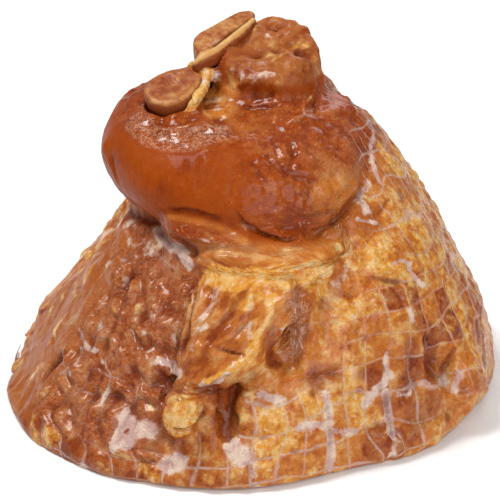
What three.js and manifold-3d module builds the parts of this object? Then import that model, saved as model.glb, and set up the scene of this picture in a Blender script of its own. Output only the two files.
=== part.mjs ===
// A smoked ham hock, standing on the wide cut where it was sawn from the ham.
// Millimetres, +Z up. The origin is the centre of the cut face, on the surface that the hock stands on.
// Angles round the hock are compass degrees: 0 is right (+X), 90 back (+Y), 180 left and 270 front.
//
// The meat, fat and rind are one solid. Three bone ends stand in sockets of that solid:
// the sawn heel bone, the split shin bone beside the joint, and the joint's own dished head.

import * as THREE from 'three';
import { mergeVertices } from 'three/addons/utils/BufferGeometryUtils.js';
import Module from 'manifold-3d';

const wasm = await Module();
wasm.setup();

// ---- Driving dimensions -------------------------------------------------------------------------

// Every list of radii and heights runs evenly round the hock, from the right through the back.

// The flanks, from the cut face up to the neck inside the rind collar: the radius at the cut face
// and at the neck, and how far the flank bellies out between them, most at bellyHeight.
const neckHeight = 116;
const flanks = {
  foot: [100, 99, 98, 97, 98, 99, 101, 105, 106, 103, 98, 103],
  belly: [13, 13, 11, 3, -5, 3, 10, 15],
  bellyHeight: [52, 48, 44, 38, 24, 34, 42, 50],
  neck: [39, 37, 34, 23, 14, 16, 30, 40],
};
const footRounding = 3;

// The collar: a thick roll of rind that overhangs the left and the front and melts into the right and back.
const collar = {
  radius: [48, 49, 50, 53, 56, 60, 63, 60],
  top: [123, 123, 123, 123, 123, 119, 116, 118],
  bottom: [70, 76, 74, 70, 66, 72, 64, 59],
  fullness: 0.62,
};

// The cuff of rind that rises from the collar to the joint, highest on the right and at the back.
const cuff = {
  centre: [8.5, -1], base: 106, footRadius: 36, headRadius: 22, flare: 0.4,
  top: [124.5, 127, 126, 123, 119.5, 118.5, 119, 121],
};

// The joint that rises out of the cuff, with a lip round the bone that fills its top.
const joint = { centre: [10.2, 0], base: 108, top: 130, footRadius: 22.5, headRadius: 18.9, rise: 0.2 };

// The joint's bone: a dished top that rises to the back, with swells and pits laid over it. Each
// one has its place from the bone's centre, its radius, and how far it stands up.
const jointBone = {
  centre: [10.6, 2.2], floor: 121, top: 136.6, slope: [0.04, 0.27], edge: 1.6,
  radii: [16.8, 17, 15.8, 18, 18.5, 17.5, 17, 17, 17, 16.8, 17, 17],
  swells: [
    [-2, 1, 10, -2.6], [9, -13, 8, 1.4], [14, 4, 7, 1.2], [-10, -12, 8, -1.6],
    [12, -7, 4.5, -3], [0, 9, 6, 1.2],
  ],
};

// The sawn heel bone stands in a slot of the rind, tipped to the left and towards the front.
const heelBone = {
  centre: [-27, -14, 124.5], depth: 20, turn: 24, tip: [-14, -20], slot: 1.2,
  radii: [10.5, 8.4, 7.7, 7.4, 8, 10, 12.2, 12.8, 12.6, 10.8, 9.4, 9.8],
};

// The split shin bone: a slab with a sawn top, and a bowed plate against it that is sawn a step
// lower and thins downwards. Outlines are in the bone's own plane, on smooth curves.
const shinBone = {
  centre: [-10, 10, 138.5], depth: 22, turn: 50, tip: [-16, -8],
  outline: [
    [17, -2.2], [13.5, 1.4], [6, 3], [-1, 3.8], [-7, 4.8], [-12, 3], [-15.5, -1.5], [-16.5, -4.6],
    [-7, -5], [4, -5], [14, -5],
  ],
};
const shinPlate = {
  step: 3, depth: 15, thinning: 0.6,
  outline: [
    [15, -3.6], [6, -3.4], [-6, -3.4], [-18.5, -3.8], [-14, -6], [-8, -7.5], [-1, -7.9], [6, -7], [11, -5.6],
  ],
};

// A fold of meat that rolls out from under the left of the collar.
const fold = { at: [252.5, 83], reach: 46.5, half: [18, 18, 11], turn: 8 };

// Pads of meat and fat on the flanks, placed by compass angle and height. Each one has half its
// width and half its height along the flank, how far it stands out, and its turn to the right.
const shoulder = { at: [266, 78], half: [35, 10.5], proud: 8.5, turn: 8, fullness: 0.55 };
const knob = { at: [256.5, 27.5], half: [8, 9.5], proud: 9, turn: 12 };
const sideLump = { at: [327, 17], half: [12, 13], proud: 5, turn: -20 };

// The flap: a leaf of muscle and fat that hangs from the shoulder and stands off the flank at its tip.
const flap = { root: [281, 84], tip: [258.5, 31], rootWidth: 26, tipWidth: 12, droop: 2, proud: 9 };

// Hollows of the flanks: the torn pit beside the flap, the cleft under it and the groove on the right.
const pit = { at: [281.5, 51], half: [8, 14], deep: 8, turn: 14 };
const cleft = { at: [267, 27], half: [4.5, 11], deep: 7, turn: 12 };
const sideGroove = { at: [320, 29], half: [4, 13], deep: 5, turn: 4 };

const boneGap = 0.5;
const aroundShank = 64;
const upShank = 16;

// ---- Small tools --------------------------------------------------------------------------------

const radians = THREE.MathUtils.degToRad;
const { lerp, smoothstep, clamp, euclideanModulo } = THREE.MathUtils;

// The closed solid of a three.js geometry: only positions, with shared corners merged.
function solidOf(geometry) {
  const bare = geometry.index ? geometry.toNonIndexed() : geometry.clone();
  bare.deleteAttribute('normal');
  bare.deleteAttribute('uv');
  const merged = mergeVertices(bare, 1e-3);
  return new wasm.Manifold(new wasm.Mesh({
    numProp: 3,
    vertProperties: merged.attributes.position.array,
    triVerts: new Uint32Array(merged.index.array),
  }));
}

// The three.js geometry of a closed solid.
function geometryOf(solid) {
  const { numProp, vertProperties, triVerts } = solid.getMesh();
  const corners = new THREE.BufferAttribute(new Float32Array(vertProperties), numProp);
  const geometry = new THREE.BufferGeometry().setAttribute('position', corners);
  geometry.setIndex(new THREE.BufferAttribute(new Uint32Array(triVerts), 1));
  geometry.computeVertexNormals();
  return geometry;
}

// Moves every corner of a geometry by a function that changes the point it is given.
function reshape(geometry, change) {
  const corners = geometry.getAttribute('position');
  const point = new THREE.Vector3();
  for (let i = 0; i < corners.count; i += 1) {
    point.fromBufferAttribute(corners, i);
    change(point);
    corners.setXYZ(i, point.x, point.y, point.z);
  }
  return geometry;
}

// The value at any compass angle of a list that runs evenly round the hock, on a smooth closed curve.
function around(list, angle) {
  const place = (euclideanModulo(angle, 360) * list.length) / 360;
  const side = Math.floor(place);
  const t = place - side;
  const value = (step) => list[euclideanModulo(side + step, list.length)];
  const slopeIn = (value(1) - value(-1)) / 2;
  const slopeOut = (value(2) - value(0)) / 2;
  const settle = t * t * (3 - 2 * t);
  return lerp(value(0), value(1), settle) + slopeIn * t * (1 - t) ** 2 - slopeOut * t * t * (1 - t);
}

const compassOf = (point) => THREE.MathUtils.radToDeg(Math.atan2(point.y, point.x));

// The point at a compass angle, a radius and a height.
function pointAt(angle, radius, height) {
  return new THREE.Vector3(radius * Math.cos(radians(angle)), radius * Math.sin(radians(angle)), height);
}

// A closed form turned about Z from [share of the radius, level] pairs. The place function turns
// a compass angle, a share and a level into a point.
function turned(profile, segments, place) {
  const points = profile.map(([share, level]) => new THREE.Vector2(share, level));
  const geometry = new THREE.LatheGeometry(points, segments).rotateX(Math.PI / 2);
  return reshape(geometry, (point) => {
    point.copy(place(compassOf(point), Math.hypot(point.x, point.y), point.z));
  });
}

// ---- The flanks ---------------------------------------------------------------------------------

// Slow swells and dips that keep the flanks from being a smooth cone.
function undulation(angle, height) {
  const turn = radians(angle);
  return Math.sin(3 * turn + height / 17) * 0.9 + Math.sin(7 * turn - height / 11 + 1.3) * 0.7;
}

function flankRadius(angle, height) {
  const rise = clamp(height / neckHeight, 0, 1);
  const straight = lerp(around(flanks.foot, angle), around(flanks.neck, angle), rise);
  const skew = Math.log(0.5) / Math.log(around(flanks.bellyHeight, angle) / neckHeight);
  const belly = around(flanks.belly, angle) * Math.sin(Math.PI * rise ** skew);
  const undercut = Math.max(0, 1 - height / footRounding);
  return straight + belly + undulation(angle, height) - footRounding * undercut ** 2;
}

function shankGeometry() {
  const profile = [[0, 0], [0.5, 0], [1, 0]];
  for (let i = 1; i <= 2; i += 1) profile.push([1, (footRounding * i) / 2]);
  for (let i = 1; i <= upShank; i += 1) profile.push([1, lerp(footRounding, neckHeight, i / upShank)]);
  profile.push([0, neckHeight + 2]);
  const place = (angle, share, height) => pointAt(angle, share * flankRadius(angle, height), height);
  return turned(profile, aroundShank, place);
}

// ---- The rind collar, the cuff and the joint -----------------------------------------------------

function collarGeometry() {
  const steps = 14;
  const profile = [];
  for (let i = 0; i <= steps; i += 1) {
    const sweep = (Math.PI * i) / steps;
    profile.push([Math.sin(sweep) ** collar.fullness, -Math.cos(sweep)]);
  }
  profile[0][0] = 0;
  profile[steps][0] = 0;
  const pucker = (angle) => Math.sin(radians(5 * angle)) * 0.8;
  return turned(profile, 56, (angle, share, level) => {
    const bottom = around(collar.bottom, angle);
    const top = around(collar.top, angle);
    const coreHeight = lerp(102, 112, (level + 1) / 2);
    const rimHeight = lerp(bottom, top, (level + 1) / 2);
    const height = lerp(coreHeight, rimHeight, smoothstep(share, 0, 0.55));
    return pointAt(angle, share * (around(collar.radius, angle) + pucker(angle)), height);
  });
}

// A drum that narrows upwards. Its level runs from 0 to 1 and its rim is rounded.
function drumGeometry({ centre, footRadius, headRadius, flare = 1 }, heightAt) {
  const steps = 4;
  const profile = [[0, 0]];
  for (let i = 0; i <= steps; i += 1) profile.push([1, (0.9 * i) / steps]);
  profile.push([0.95, 0.98], [0.88, 1], [0, 1]);
  const form = turned(profile, 32, (angle, share, level) => {
    const knuckles = Math.sin(radians(4 * angle + 40)) * 0.7;
    const radius = lerp(footRadius, headRadius, clamp(level, 0, 1) ** flare) + knuckles;
    return pointAt(angle, share * radius, heightAt(angle, share * radius, level));
  });
  return form.translate(...centre, 0);
}

const cuffGeometry = () => drumGeometry(cuff, (angle, radius, level) => {
  return lerp(cuff.base, around(cuff.top, angle), level);
});

// The joint's lip rises to the back with the bone inside it.
const jointGeometry = () => drumGeometry(joint, (angle, radius, level) => {
  const back = radius * Math.sin(radians(angle)) + joint.headRadius;
  return lerp(joint.base, joint.top + joint.rise * back, level);
});

// ---- Pads and hollows of the flanks -------------------------------------------------------------

// Lays a half ball over the flank: across and up are its shares of the pad's own size, and spot
// turns them into a compass angle, a height and the most that the pad stands out there.
function overFlank(spot, segments) {
  const rings = Math.round(segments * 0.6);
  const sunk = -6;
  return reshape(new THREE.SphereGeometry(1, segments, rings), (point) => {
    const { angle, height, proud, fullness = 1 } = spot(point.x, point.y);
    const lift = point.z > 0 ? point.z ** fullness * proud : -point.z * sunk;
    point.copy(pointAt(angle, flankRadius(angle, height) + lift, height));
  });
}

// The spot function of an oval that is turned on the flank. A length along the flank at a place
// becomes an angle by the radius there.
function ovalSpot({ at, half, turn, fullness }, proud) {
  const [middleAngle, middleHeight] = at;
  const radius = flankRadius(middleAngle, middleHeight);
  const [cos, sin] = [Math.cos(radians(turn)), Math.sin(radians(turn))];
  return (across, up) => {
    const right = across * half[0] * cos + up * half[1] * sin;
    const rise = up * half[1] * cos - across * half[0] * sin;
    const angle = middleAngle + THREE.MathUtils.radToDeg(right / radius);
    return { angle, height: middleHeight + rise, proud, fullness };
  };
}

// A ball drawn out along the flank, up it and outwards, that stands partly in the hock.
function rollGeometry({ at: [angle, height], reach, half, turn }, segments) {
  return new THREE.SphereGeometry(1, segments, Math.round(segments * 0.6))
    .scale(half[1], half[0], half[2])
    .rotateX(radians(turn))
    .rotateZ(radians(angle))
    .translate(...pointAt(angle, reach, height));
}

const padGeometry = (pad, segments) => overFlank(ovalSpot(pad, pad.proud), segments);

// A hollow is an oval lens across the flank's surface.
function hollowGeometry(hollow, segments) {
  const spot = ovalSpot(hollow, 1);
  return reshape(new THREE.SphereGeometry(1, segments, Math.round(segments * 0.6)), (point) => {
    const { angle, height } = spot(point.x, point.y);
    const lift = point.z > 0 ? point.z * 4 : point.z * hollow.deep;
    point.copy(pointAt(angle, flankRadius(angle, height) + lift, height));
  });
}

// The flap narrows from its root to its tip.
function flapGeometry() {
  return overFlank((across, up) => {
    const share = (up + 1) / 2;
    const half = lerp(flap.tipWidth, flap.rootWidth, share);
    const centre = lerp(flap.tip[0], flap.root[0], share);
    const height = lerp(flap.tip[1], flap.root[1], share);
    const swing = THREE.MathUtils.radToDeg((across * half) / flankRadius(centre, height));
    return { angle: centre + swing, height: height - across * flap.droop, proud: flap.proud };
  }, 24);
}

// ---- Bones --------------------------------------------------------------------------------------

// Tips a form about Y and X, turns it about Z, and moves it to its place.
function seat(geometry, { centre, turn, tip }) {
  return geometry
    .rotateY(radians(tip[0]))
    .rotateX(radians(-tip[1]))
    .rotateZ(radians(turn))
    .translate(...centre);
}

// A sawn bone end: an oval that narrows a little downwards from a flat top at height 0.
function heelBoneGeometry(gap) {
  const { depth, radii } = heelBone;
  const rim = 1.2;
  const profile = [[0, -depth - gap], [0.8, -depth - gap]];
  for (let i = 1; i <= 3; i += 1) profile.push([lerp(0.8, 1, i / 3), lerp(-depth, -rim, i / 3)]);
  profile.push([0.97, -0.3], [0.9, 0], [0, 0]);
  const place = (angle, share, height) => pointAt(angle, share * (around(radii, angle) + gap), height);
  return seat(turned(profile, 32, place), heelBone);
}

// A slab with its outline on a smooth closed curve through some points, sawn flat on top at height 0.
function slabGeometry(outline, depth, gap) {
  const corners = outline.map(([x, y]) => new THREE.Vector3(x, y, 0));
  const curve = new THREE.CatmullRomCurve3(corners, true);
  const sum = corners.reduce((total, corner) => total.add(corner), new THREE.Vector3());
  const middle = sum.divideScalar(corners.length);
  const floor = -depth - gap;
  const profile = [[0, floor], [1, floor], [1, -depth / 2], [1, -0.7], [0.96, -0.1], [0.86, 0], [0, 0]];
  return turned(profile, 40, (angle, share, level) => {
    const reach = curve.getPoint(euclideanModulo(angle, 360) / 360).sub(middle);
    reach.setLength((reach.length() + gap) * share);
    return reach.add(middle).setZ(level);
  });
}

function shinBoneSolid(gap) {
  const slab = slabGeometry(shinBone.outline, shinBone.depth, gap);
  const plate = slabGeometry(shinPlate.outline, shinPlate.depth, gap);
  const chord = shinPlate.outline[0][1];
  reshape(plate, (point) => {
    const left = 1 + (point.z / shinPlate.depth) * shinPlate.thinning;
    point.set(point.x * lerp(0.75, 1, left), chord + (point.y - chord) * left, point.z - shinPlate.step);
  });
  return solidOf(seat(slab, shinBone)).add(solidOf(seat(plate, shinBone)));
}

// The joint's bone: a dish with a rounded edge, and its swells and pits. Its socket is open above.
function jointBoneSolid(gap, open = 0) {
  const { centre, floor, top, radii, slope, edge, swells } = jointBone;
  const height = top - floor;
  const profile = [[0, -height - gap], [0.95, -height - gap], [1, -height / 2]];
  profile.push([1, -edge * 2], [0.97, -edge * 0.8]);
  for (let i = 0; i <= 6; i += 1) profile.push([lerp(0.91, 0, i / 6), i ? 0 : -edge * 0.2]);
  const form = turned(profile, 36, (angle, share, level) => {
    const point = pointAt(angle, share * (around(radii, angle) + gap), level);
    let rise = slope[0] * point.x + slope[1] * point.y;
    for (const [x, y, radius, proud] of swells) {
      rise += proud * Math.exp(-(((point.x - x) ** 2 + (point.y - y) ** 2) / radius ** 2) * 1.4);
    }
    point.z += smoothstep(level, -edge * 4, -edge) * (rise + open);
    return point;
  });
  return solidOf(form.translate(...centre, top));
}

// ---- The object ---------------------------------------------------------------------------------

function meatSolid() {
  let meat = solidOf(shankGeometry());
  const standing = [collarGeometry(), cuffGeometry(), jointGeometry(), flapGeometry()];
  standing.push(rollGeometry(fold, 22), padGeometry(shoulder, 22));
  standing.push(padGeometry(knob, 14), padGeometry(sideLump, 14));
  for (const piece of standing) meat = meat.add(solidOf(piece));
  for (const hollow of [pit, cleft, sideGroove]) meat = meat.subtract(solidOf(hollowGeometry(hollow, 14)));
  meat = meat.subtract(solidOf(heelBoneGeometry(heelBone.slot)));
  meat = meat.subtract(shinBoneSolid(boneGap));
  return meat.subtract(jointBoneSolid(boneGap, 20));
}

const meatFinish = new THREE.MeshStandardMaterial({ color: 0xb4632c, roughness: 0.42 });
const boneFinish = new THREE.MeshStandardMaterial({ color: 0xc68c5a, roughness: 0.5 });

const hock = new THREE.Group();

function addPiece(name, geometry, material) {
  const piece = new THREE.Mesh(geometry, material);
  piece.name = name;
  hock.add(piece);
}

addPiece('meat_and_rind', geometryOf(meatSolid()), meatFinish);
addPiece('heel_bone', heelBoneGeometry(0), boneFinish);
addPiece('shin_bone', geometryOf(shinBoneSolid(0)), boneFinish);
// The joint's bone is cut back where the shin bone stands against it.
addPiece('joint_bone', geometryOf(jointBoneSolid(0).subtract(shinBoneSolid(2 * boneGap))), boneFinish);

// Stand the hock on Z = 0 with the middle of its footprint at the origin.
const box = new THREE.Box3().setFromObject(hock);
const middle = box.getCenter(new THREE.Vector3());
hock.position.set(-middle.x, -middle.y, -box.min.z);

export default hock;
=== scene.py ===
"""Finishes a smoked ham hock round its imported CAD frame: meat, fat, rind and bone ends.

Every length is in metres in the file's meshes. Sizes written with MM are millimetres. The hock stands
on Z = 0 with its flap towards -Y, so compass angle 0 is right, 90 back, 180 left and 270 front.
"""

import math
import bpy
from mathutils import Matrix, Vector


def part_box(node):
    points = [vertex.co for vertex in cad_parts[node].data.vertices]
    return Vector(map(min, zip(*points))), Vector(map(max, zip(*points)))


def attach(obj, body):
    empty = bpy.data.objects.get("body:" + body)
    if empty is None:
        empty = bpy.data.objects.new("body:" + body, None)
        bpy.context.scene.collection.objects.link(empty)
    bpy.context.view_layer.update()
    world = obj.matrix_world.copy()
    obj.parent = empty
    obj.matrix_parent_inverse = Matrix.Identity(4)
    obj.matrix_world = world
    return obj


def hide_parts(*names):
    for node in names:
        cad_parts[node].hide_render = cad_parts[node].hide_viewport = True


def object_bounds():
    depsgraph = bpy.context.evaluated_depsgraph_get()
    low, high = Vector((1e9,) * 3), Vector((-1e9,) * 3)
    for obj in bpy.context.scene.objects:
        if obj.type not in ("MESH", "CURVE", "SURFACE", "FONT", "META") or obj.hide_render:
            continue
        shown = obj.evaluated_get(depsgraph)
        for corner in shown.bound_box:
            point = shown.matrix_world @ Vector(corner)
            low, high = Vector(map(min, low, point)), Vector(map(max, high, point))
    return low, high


bl_info = {
    "name": "Smoked ham hock",
    "version": (1, 0, 0),
    "blender": (4, 5, 0),
    "location": "3D View > Sidebar > Ham Hock",
    "description": "Shapes and colours the meat, rind and bone ends of a smoked ham hock",
    "category": "Mesh",
}

import bpy
import numpy as np
from mathutils import Vector, noise
from mathutils.bvhtree import BVHTree

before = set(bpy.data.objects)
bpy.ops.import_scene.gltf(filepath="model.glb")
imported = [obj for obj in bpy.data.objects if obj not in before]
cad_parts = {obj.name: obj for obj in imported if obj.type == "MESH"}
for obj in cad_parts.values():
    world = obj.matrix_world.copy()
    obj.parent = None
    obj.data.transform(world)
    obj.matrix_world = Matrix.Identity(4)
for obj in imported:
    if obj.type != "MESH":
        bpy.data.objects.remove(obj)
CAD_BOX = [list(corner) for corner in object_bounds()]

MM = 0.001
BODY = "root"


def linear(hex_colour):
    """An sRGB hex colour as linear red, green, blue."""
    parts = [int(hex_colour[i : i + 2], 16) / 255 for i in (1, 3, 5)]
    return tuple(c / 12.92 if c <= 0.04045 else ((c + 0.055) / 1.055) ** 2.4 for c in parts)


# ---- Settings ------------------------------------------------------------------------------------


def length(name, description, default):
    """A setting in metres."""
    return bpy.props.FloatProperty(
        name=name, description=description, default=default, min=0, unit="LENGTH", precision=4
    )


def colour(name, description, hex_colour):
    """A setting that holds a colour."""
    return bpy.props.FloatVectorProperty(
        name=name, description=description, default=linear(hex_colour), subtype="COLOR", min=0, max=1
    )


class HockSizes(bpy.types.PropertyGroup):
    """Sizes of the finish, in metres."""

    meat_grain: length("Meat grain", "Size of the faces that the meat is remeshed to", 0.85 * MM)
    bone_grain: length("Bone grain", "Size of the faces that the bones are remeshed to", 0.5 * MM)
    net_row: length("Net row", "Distance between the rings that the net pressed in", 11 * MM)
    net_count: bpy.props.IntProperty(
        name="Net cells", description="Cells of the net in one turn round the hock", default=60
    )


class HockColours(bpy.types.PropertyGroup):
    """Colours of the meat, fat, rind and bone."""

    rind: colour("Rind", "Smoked rind of the collar", "#8e3b06")
    rind_dark: colour("Dark rind", "Rind where the smoke settled", "#7c2e07")
    rind_pale: colour("Pale rind", "Rind pulled thin over a wrinkle", "#9a4e1a")
    lean: colour("Lean", "Smoked lean meat of the flanks", "#964c1f")
    # Dark lean and seam are also the colours of painted shade in valleys, hollows, pits and creases.
    lean_dark: colour("Dark lean", "Lean meat that took more smoke", "#7c340f")
    lean_pale: colour("Pale lean", "Lean meat with a film of dried juice", "#a0663c")
    seam: colour("Seam", "Lean meat in pits and seams", "#642008")
    tan: colour("Tan skin", "Dried skin over the lean", "#9b511c")
    tan_pale: colour("Pale tan skin", "Dried skin that has gone dull", "#a46a3e")
    amber: colour("Amber meat", "Meat with fat close under its skin", "#b66c2a")
    amber_dark: colour("Dark amber meat", "Amber meat that took more smoke", "#a4561e")
    amber_pale: colour("Pale amber meat", "Amber meat that took less smoke", "#c18c52")
    gold: colour("Gold fat", "Smoke-tanned fat", "#c88a34")
    gold_pale: colour("Pale gold fat", "Fat that took less smoke", "#d0a668")
    gold_dark: colour("Dark gold fat", "Fat that took more smoke", "#b86c24")
    silver: colour("Silver skin", "Lilac skin between the muscles", "#bb9c95")
    # Dried juice is also the colour of painted glints: pale ripples and flecks on rough meat and rind.
    juice_and_glint: colour("Dried juice", "Thin pale ripples on rough meat", "#cba083")
    white_fat: colour("White fat", "Raw white fat", "#d3bcac")
    bone: colour("Bone", "Sawn bone face", "#965428")
    bone_pale: colour("Pale bone", "Hard rim of the bone", "#b5844c")
    # Marrow is also the colour of painted shade on the bones' sides, below the shin bone's plate edge and
    # in the slot at its step.
    bone_dark: colour("Marrow", "Marrow and stained bone", "#7a3010")


# ---- Mesh tools ----------------------------------------------------------------------------------


def smooth(value, low, high):
    """0 below low, 1 above high, eased between them. High may be the smaller one."""
    t = np.clip((value - low) / (high - low), 0, 1)
    return t * t * (3 - 2 * t)


# How far a noise moves for a shift of 1, in lumps of its own size.
NOISE_SHIFT = np.array((17.3, 5.1, 9.7))


def noise_at(points, size, octaves=3, shift=0.0):
    """Soft noise from -1 to 1 at points, with lumps of about a size, never the same for two shifts."""
    scaled = points * (1 / size) + NOISE_SHIFT * shift
    fractal = noise.fractal
    return np.array([fractal(spot, 1.0, 2.0, octaves) for spot in scaled])


def linked(name, mesh):
    """A new object in the scene."""
    piece = bpy.data.objects.new(name, mesh)
    bpy.context.scene.collection.objects.link(piece)
    return piece


def applied(piece):
    """Replaces a piece's mesh by its mesh with the modifiers applied."""
    evaluated = piece.evaluated_get(bpy.context.evaluated_depsgraph_get())
    piece.data = bpy.data.meshes.new_from_object(evaluated)
    piece.modifiers.clear()
    return piece


def remeshed(piece, grain):
    """The piece with its mesh made again from small even faces."""
    remesh = piece.modifiers.new("Voxels", "REMESH")
    remesh.mode = "VOXEL"
    remesh.voxel_size = grain
    bpy.context.view_layer.update()
    return applied(piece)


def node_copy(node, name, grow=1.0):
    """A new piece with the shape of a CAD node, which may be grown from the middle of its top."""
    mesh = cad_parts[node].data.copy()
    mesh.materials.clear()
    low, high = (Vector(corner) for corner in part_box(node))
    top = Vector(((low.x + high.x) / 2, (low.y + high.y) / 2, high.z))
    for corner in mesh.vertices:
        corner.co = top + (corner.co - top) * grow
    return linked(name, mesh)


def cord(points, radii):
    """A closed round cord through points in millimetres, with a radius in millimetres at each."""
    curve = bpy.data.curves.new("cord", "CURVE")
    curve.dimensions = "3D"
    curve.bevel_depth = MM
    curve.bevel_resolution = 3
    curve.use_fill_caps = True
    line = curve.splines.new("BEZIER")
    line.bezier_points.add(len(points) - 1)
    for knot, point, radius in zip(line.bezier_points, points, radii):
        knot.co = Vector(point) * MM
        knot.radius = radius
        knot.handle_left_type = knot.handle_right_type = "AUTO"
    piece = linked("cord", curve)
    bpy.context.view_layer.update()
    mesh = bpy.data.meshes.new_from_object(piece.evaluated_get(bpy.context.evaluated_depsgraph_get()))
    bpy.data.objects.remove(piece)
    return linked("cord", mesh)


def joined(piece, others):
    """The piece with other pieces' meshes joined to its own."""
    with bpy.context.temp_override(
        active_object=piece, object=piece, selected_objects=[piece, *others],
        selected_editable_objects=[piece, *others],
    ):
        bpy.ops.object.join()
    return piece


def spline(points, step):
    """Points at about every step along a smooth curve through some points."""
    if len(points) == 1:
        return np.array(points)
    ends = [2 * points[0] - points[1], *points, 2 * points[-1] - points[-2]]
    found = []
    for a, b, c, d in zip(ends, ends[1:], ends[2:], ends[3:]):
        count = max(1, round(np.linalg.norm(c - b) / step))
        for t in np.arange(count) / count:
            found.append(
                0.5 * (2 * b + (c - a) * t + (2 * a - 5 * b + 4 * c - d) * t**2
                       + (3 * b - a - 3 * c + d) * t**3)
            )
    return np.array([*found, points[-1]])


# Distance between the points of a path drawn on the surface.
PATH_STEP = 1.5 * MM


class Clay:
    """A piece's mesh held as arrays while it is shaped and painted.

    Strokes and marks follow a path on the surface, given by places. A place on the flanks is a compass
    angle and a height in millimetres, and with top=True it is x and y in millimetres.
    """

    def __init__(self, piece):
        self.piece = piece
        self.paint = {}
        self.grain = None
        self.read()

    def read(self):
        """Takes the corners and edges of the piece's mesh."""
        mesh = self.piece.data
        self.at = np.empty(len(mesh.vertices) * 3)
        mesh.vertices.foreach_get("co", self.at)
        self.at = self.at.reshape(-1, 3)
        self.edges = np.empty(len(mesh.edges) * 2, int)
        mesh.edges.foreach_get("vertices", self.edges)
        self.edges = self.edges.reshape(-1, 2)
        self.neighbours = np.bincount(self.edges.ravel(), minlength=len(self.at))[:, None]
        self.settle()

    def remesh(self, grain):
        """Makes the mesh again from small even faces."""
        self.settle()
        remeshed(self.piece, grain)
        self.read()

    def settle(self):
        """Writes the shape to the mesh and takes new normals and a new surface to aim at."""
        mesh = self.piece.data
        mesh.vertices.foreach_set("co", self.at.ravel())
        mesh.update()
        self.out = np.empty(len(self.at) * 3)
        mesh.vertex_normals.foreach_get("vector", self.out)
        self.out = self.out.reshape(-1, 3)
        bpy.context.view_layer.update()
        self.tree = BVHTree.FromObject(self.piece, bpy.context.evaluated_depsgraph_get())
        self.angle = np.degrees(np.arctan2(self.at[:, 1], self.at[:, 0])) % 360
        self.height = self.at[:, 2] / MM

    def spread(self, values):
        """Each corner's mean of the values at its neighbours."""
        a, b = self.edges.T
        total = np.zeros((len(self.at), values.shape[1]))
        for k in range(values.shape[1]):
            total[:, k] = np.bincount(a, values[b, k], len(self.at))
            total[:, k] += np.bincount(b, values[a, k], len(self.at))
        return total / self.neighbours

    def relax(self, steps):
        """Smooths the shape, by moving each corner most of the way to its neighbours' middle."""
        for _ in range(steps):
            self.at += (self.spread(self.at) - self.at) * 0.6
        self.settle()

    def raise_by(self, rise):
        """Moves each corner out by its own rise in millimetres."""
        self.at += self.out * (rise * MM)[:, None]

    def around(self, angle, height):
        """The surface's point at a compass angle and a height in millimetres, met from outside."""
        turn = math.radians(angle)
        way = Vector((-math.cos(turn), -math.sin(turn), 0))
        hit = self.tree.ray_cast(Vector((0, 0, height * MM)) - way * 0.3, way)[0]
        if hit is None:
            raise ValueError(f"no surface at angle {angle}, height {height}")
        return np.array(hit)

    def above(self, x, y):
        """The surface's highest point at x and y in millimetres, or the nearest one past its edge."""
        hit = self.tree.ray_cast(Vector((x * MM, y * MM, 0.3)), Vector((0, 0, -1)))[0]
        if hit is None:
            hit = self.tree.find_nearest(Vector((x * MM, y * MM, self.at[:, 2].max())))[0]
        return np.array(hit)

    def path(self, points, top=False):
        """A smooth path on the surface. A point with three numbers is a place of its own, in mm."""
        find = self.above if top else self.around
        found = [np.array(point) * MM if len(point) == 3 else find(*point) for point in points]
        return spline(found, PATH_STEP)

    def near(self, path, reach):
        """Corners within reach of a path: their numbers, distances, places along it from 0 to 1, and
        how far they are to its left, seen from outside."""
        low, high = path.min(0) - reach, path.max(0) + reach
        close = np.nonzero(((self.at > low) & (self.at < high)).all(1))[0]
        best = np.full(len(close), np.inf)
        share, left = np.zeros(len(close)), np.zeros(len(close))
        spot, out = self.at[close], self.out[close]
        count = max(1, len(path) - 1)
        for i in range(count):
            a = path[i]
            run = path[min(i + 1, len(path) - 1)] - a
            size = max(np.linalg.norm(run), 1e-9)
            t = np.clip((spot - a) @ run / size**2, 0, 1)
            gap = np.linalg.norm(spot - a - t[:, None] * run, axis=1)
            closer = gap < best
            best[closer] = gap[closer]
            share[closer] = (i + t[closer]) / count
            left[closer] = ((spot - a) * np.cross(out, run / size)).sum(1)[closer]
        kept = best < reach
        return close[kept], best[kept], share[kept], left[kept]

    def stroke(self, points, width, rise, top=False, taper=0.25, waver=0.0):
        """Raises, or cuts if rise is below 0, a band along a path. Width is its half width in mm."""
        close, gap, share, _ = self.near(self.path(points, top), width * (1 + waver) * MM)
        if waver:
            wide = 1 + waver * noise_at(self.at[close], 4 * MM, 2)
            gap = gap / np.clip(wide, 0.3, None)
        t = np.clip(gap / (width * MM), 0, 1)
        ends = smooth(share, 0, taper) * smooth(share, 1, 1 - taper) if taper else 1
        self.at[close] += self.out[close] * ((1 - t**2) ** 2 * ends * rise * MM)[:, None]

    def lift(self, points, width, rise, taper=0.2):
        """Raises or lowers a top face along a path, straight up or down."""
        close, gap, share, _ = self.near(self.path(points, top=True), width * MM)
        ends = smooth(share, 0, taper) * smooth(share, 1, 1 - taper) if len(points) > 1 else 1
        facing = smooth(self.out[close, 2], 0.2, 0.6)
        self.at[close, 2] += (1 - (gap / (width * MM)) ** 2) ** 2 * ends * facing * rise * MM

    def ledge(self, points, width, rise, drop, waver=0.6):
        """Raises the ground on the left of a path, seen from outside, and cuts the ground on its right."""
        close, gap, share, left = self.near(self.path(points), width * MM)
        left = left + waver * MM * noise_at(self.at[close], 3.5 * MM, 2)
        side = smooth(left, -0.5 * MM, 0.5 * MM)
        t = gap / (width * MM)
        ends = smooth(share, 0, 0.2) * smooth(share, 1, 0.8)
        lift = side * rise * (1 - t) ** 1.5 - (1 - side) * drop * np.clip(1 - 2 * t, 0, 1) ** 1.5
        self.at[close] += self.out[close] * (lift * ends * MM)[:, None]

    def dab(self, points, width, rise, top=False):
        """Raises or cuts an uneven lump at each point."""
        for point in points:
            self.stroke([point], width, rise, top, taper=0, waver=0.5)

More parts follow.
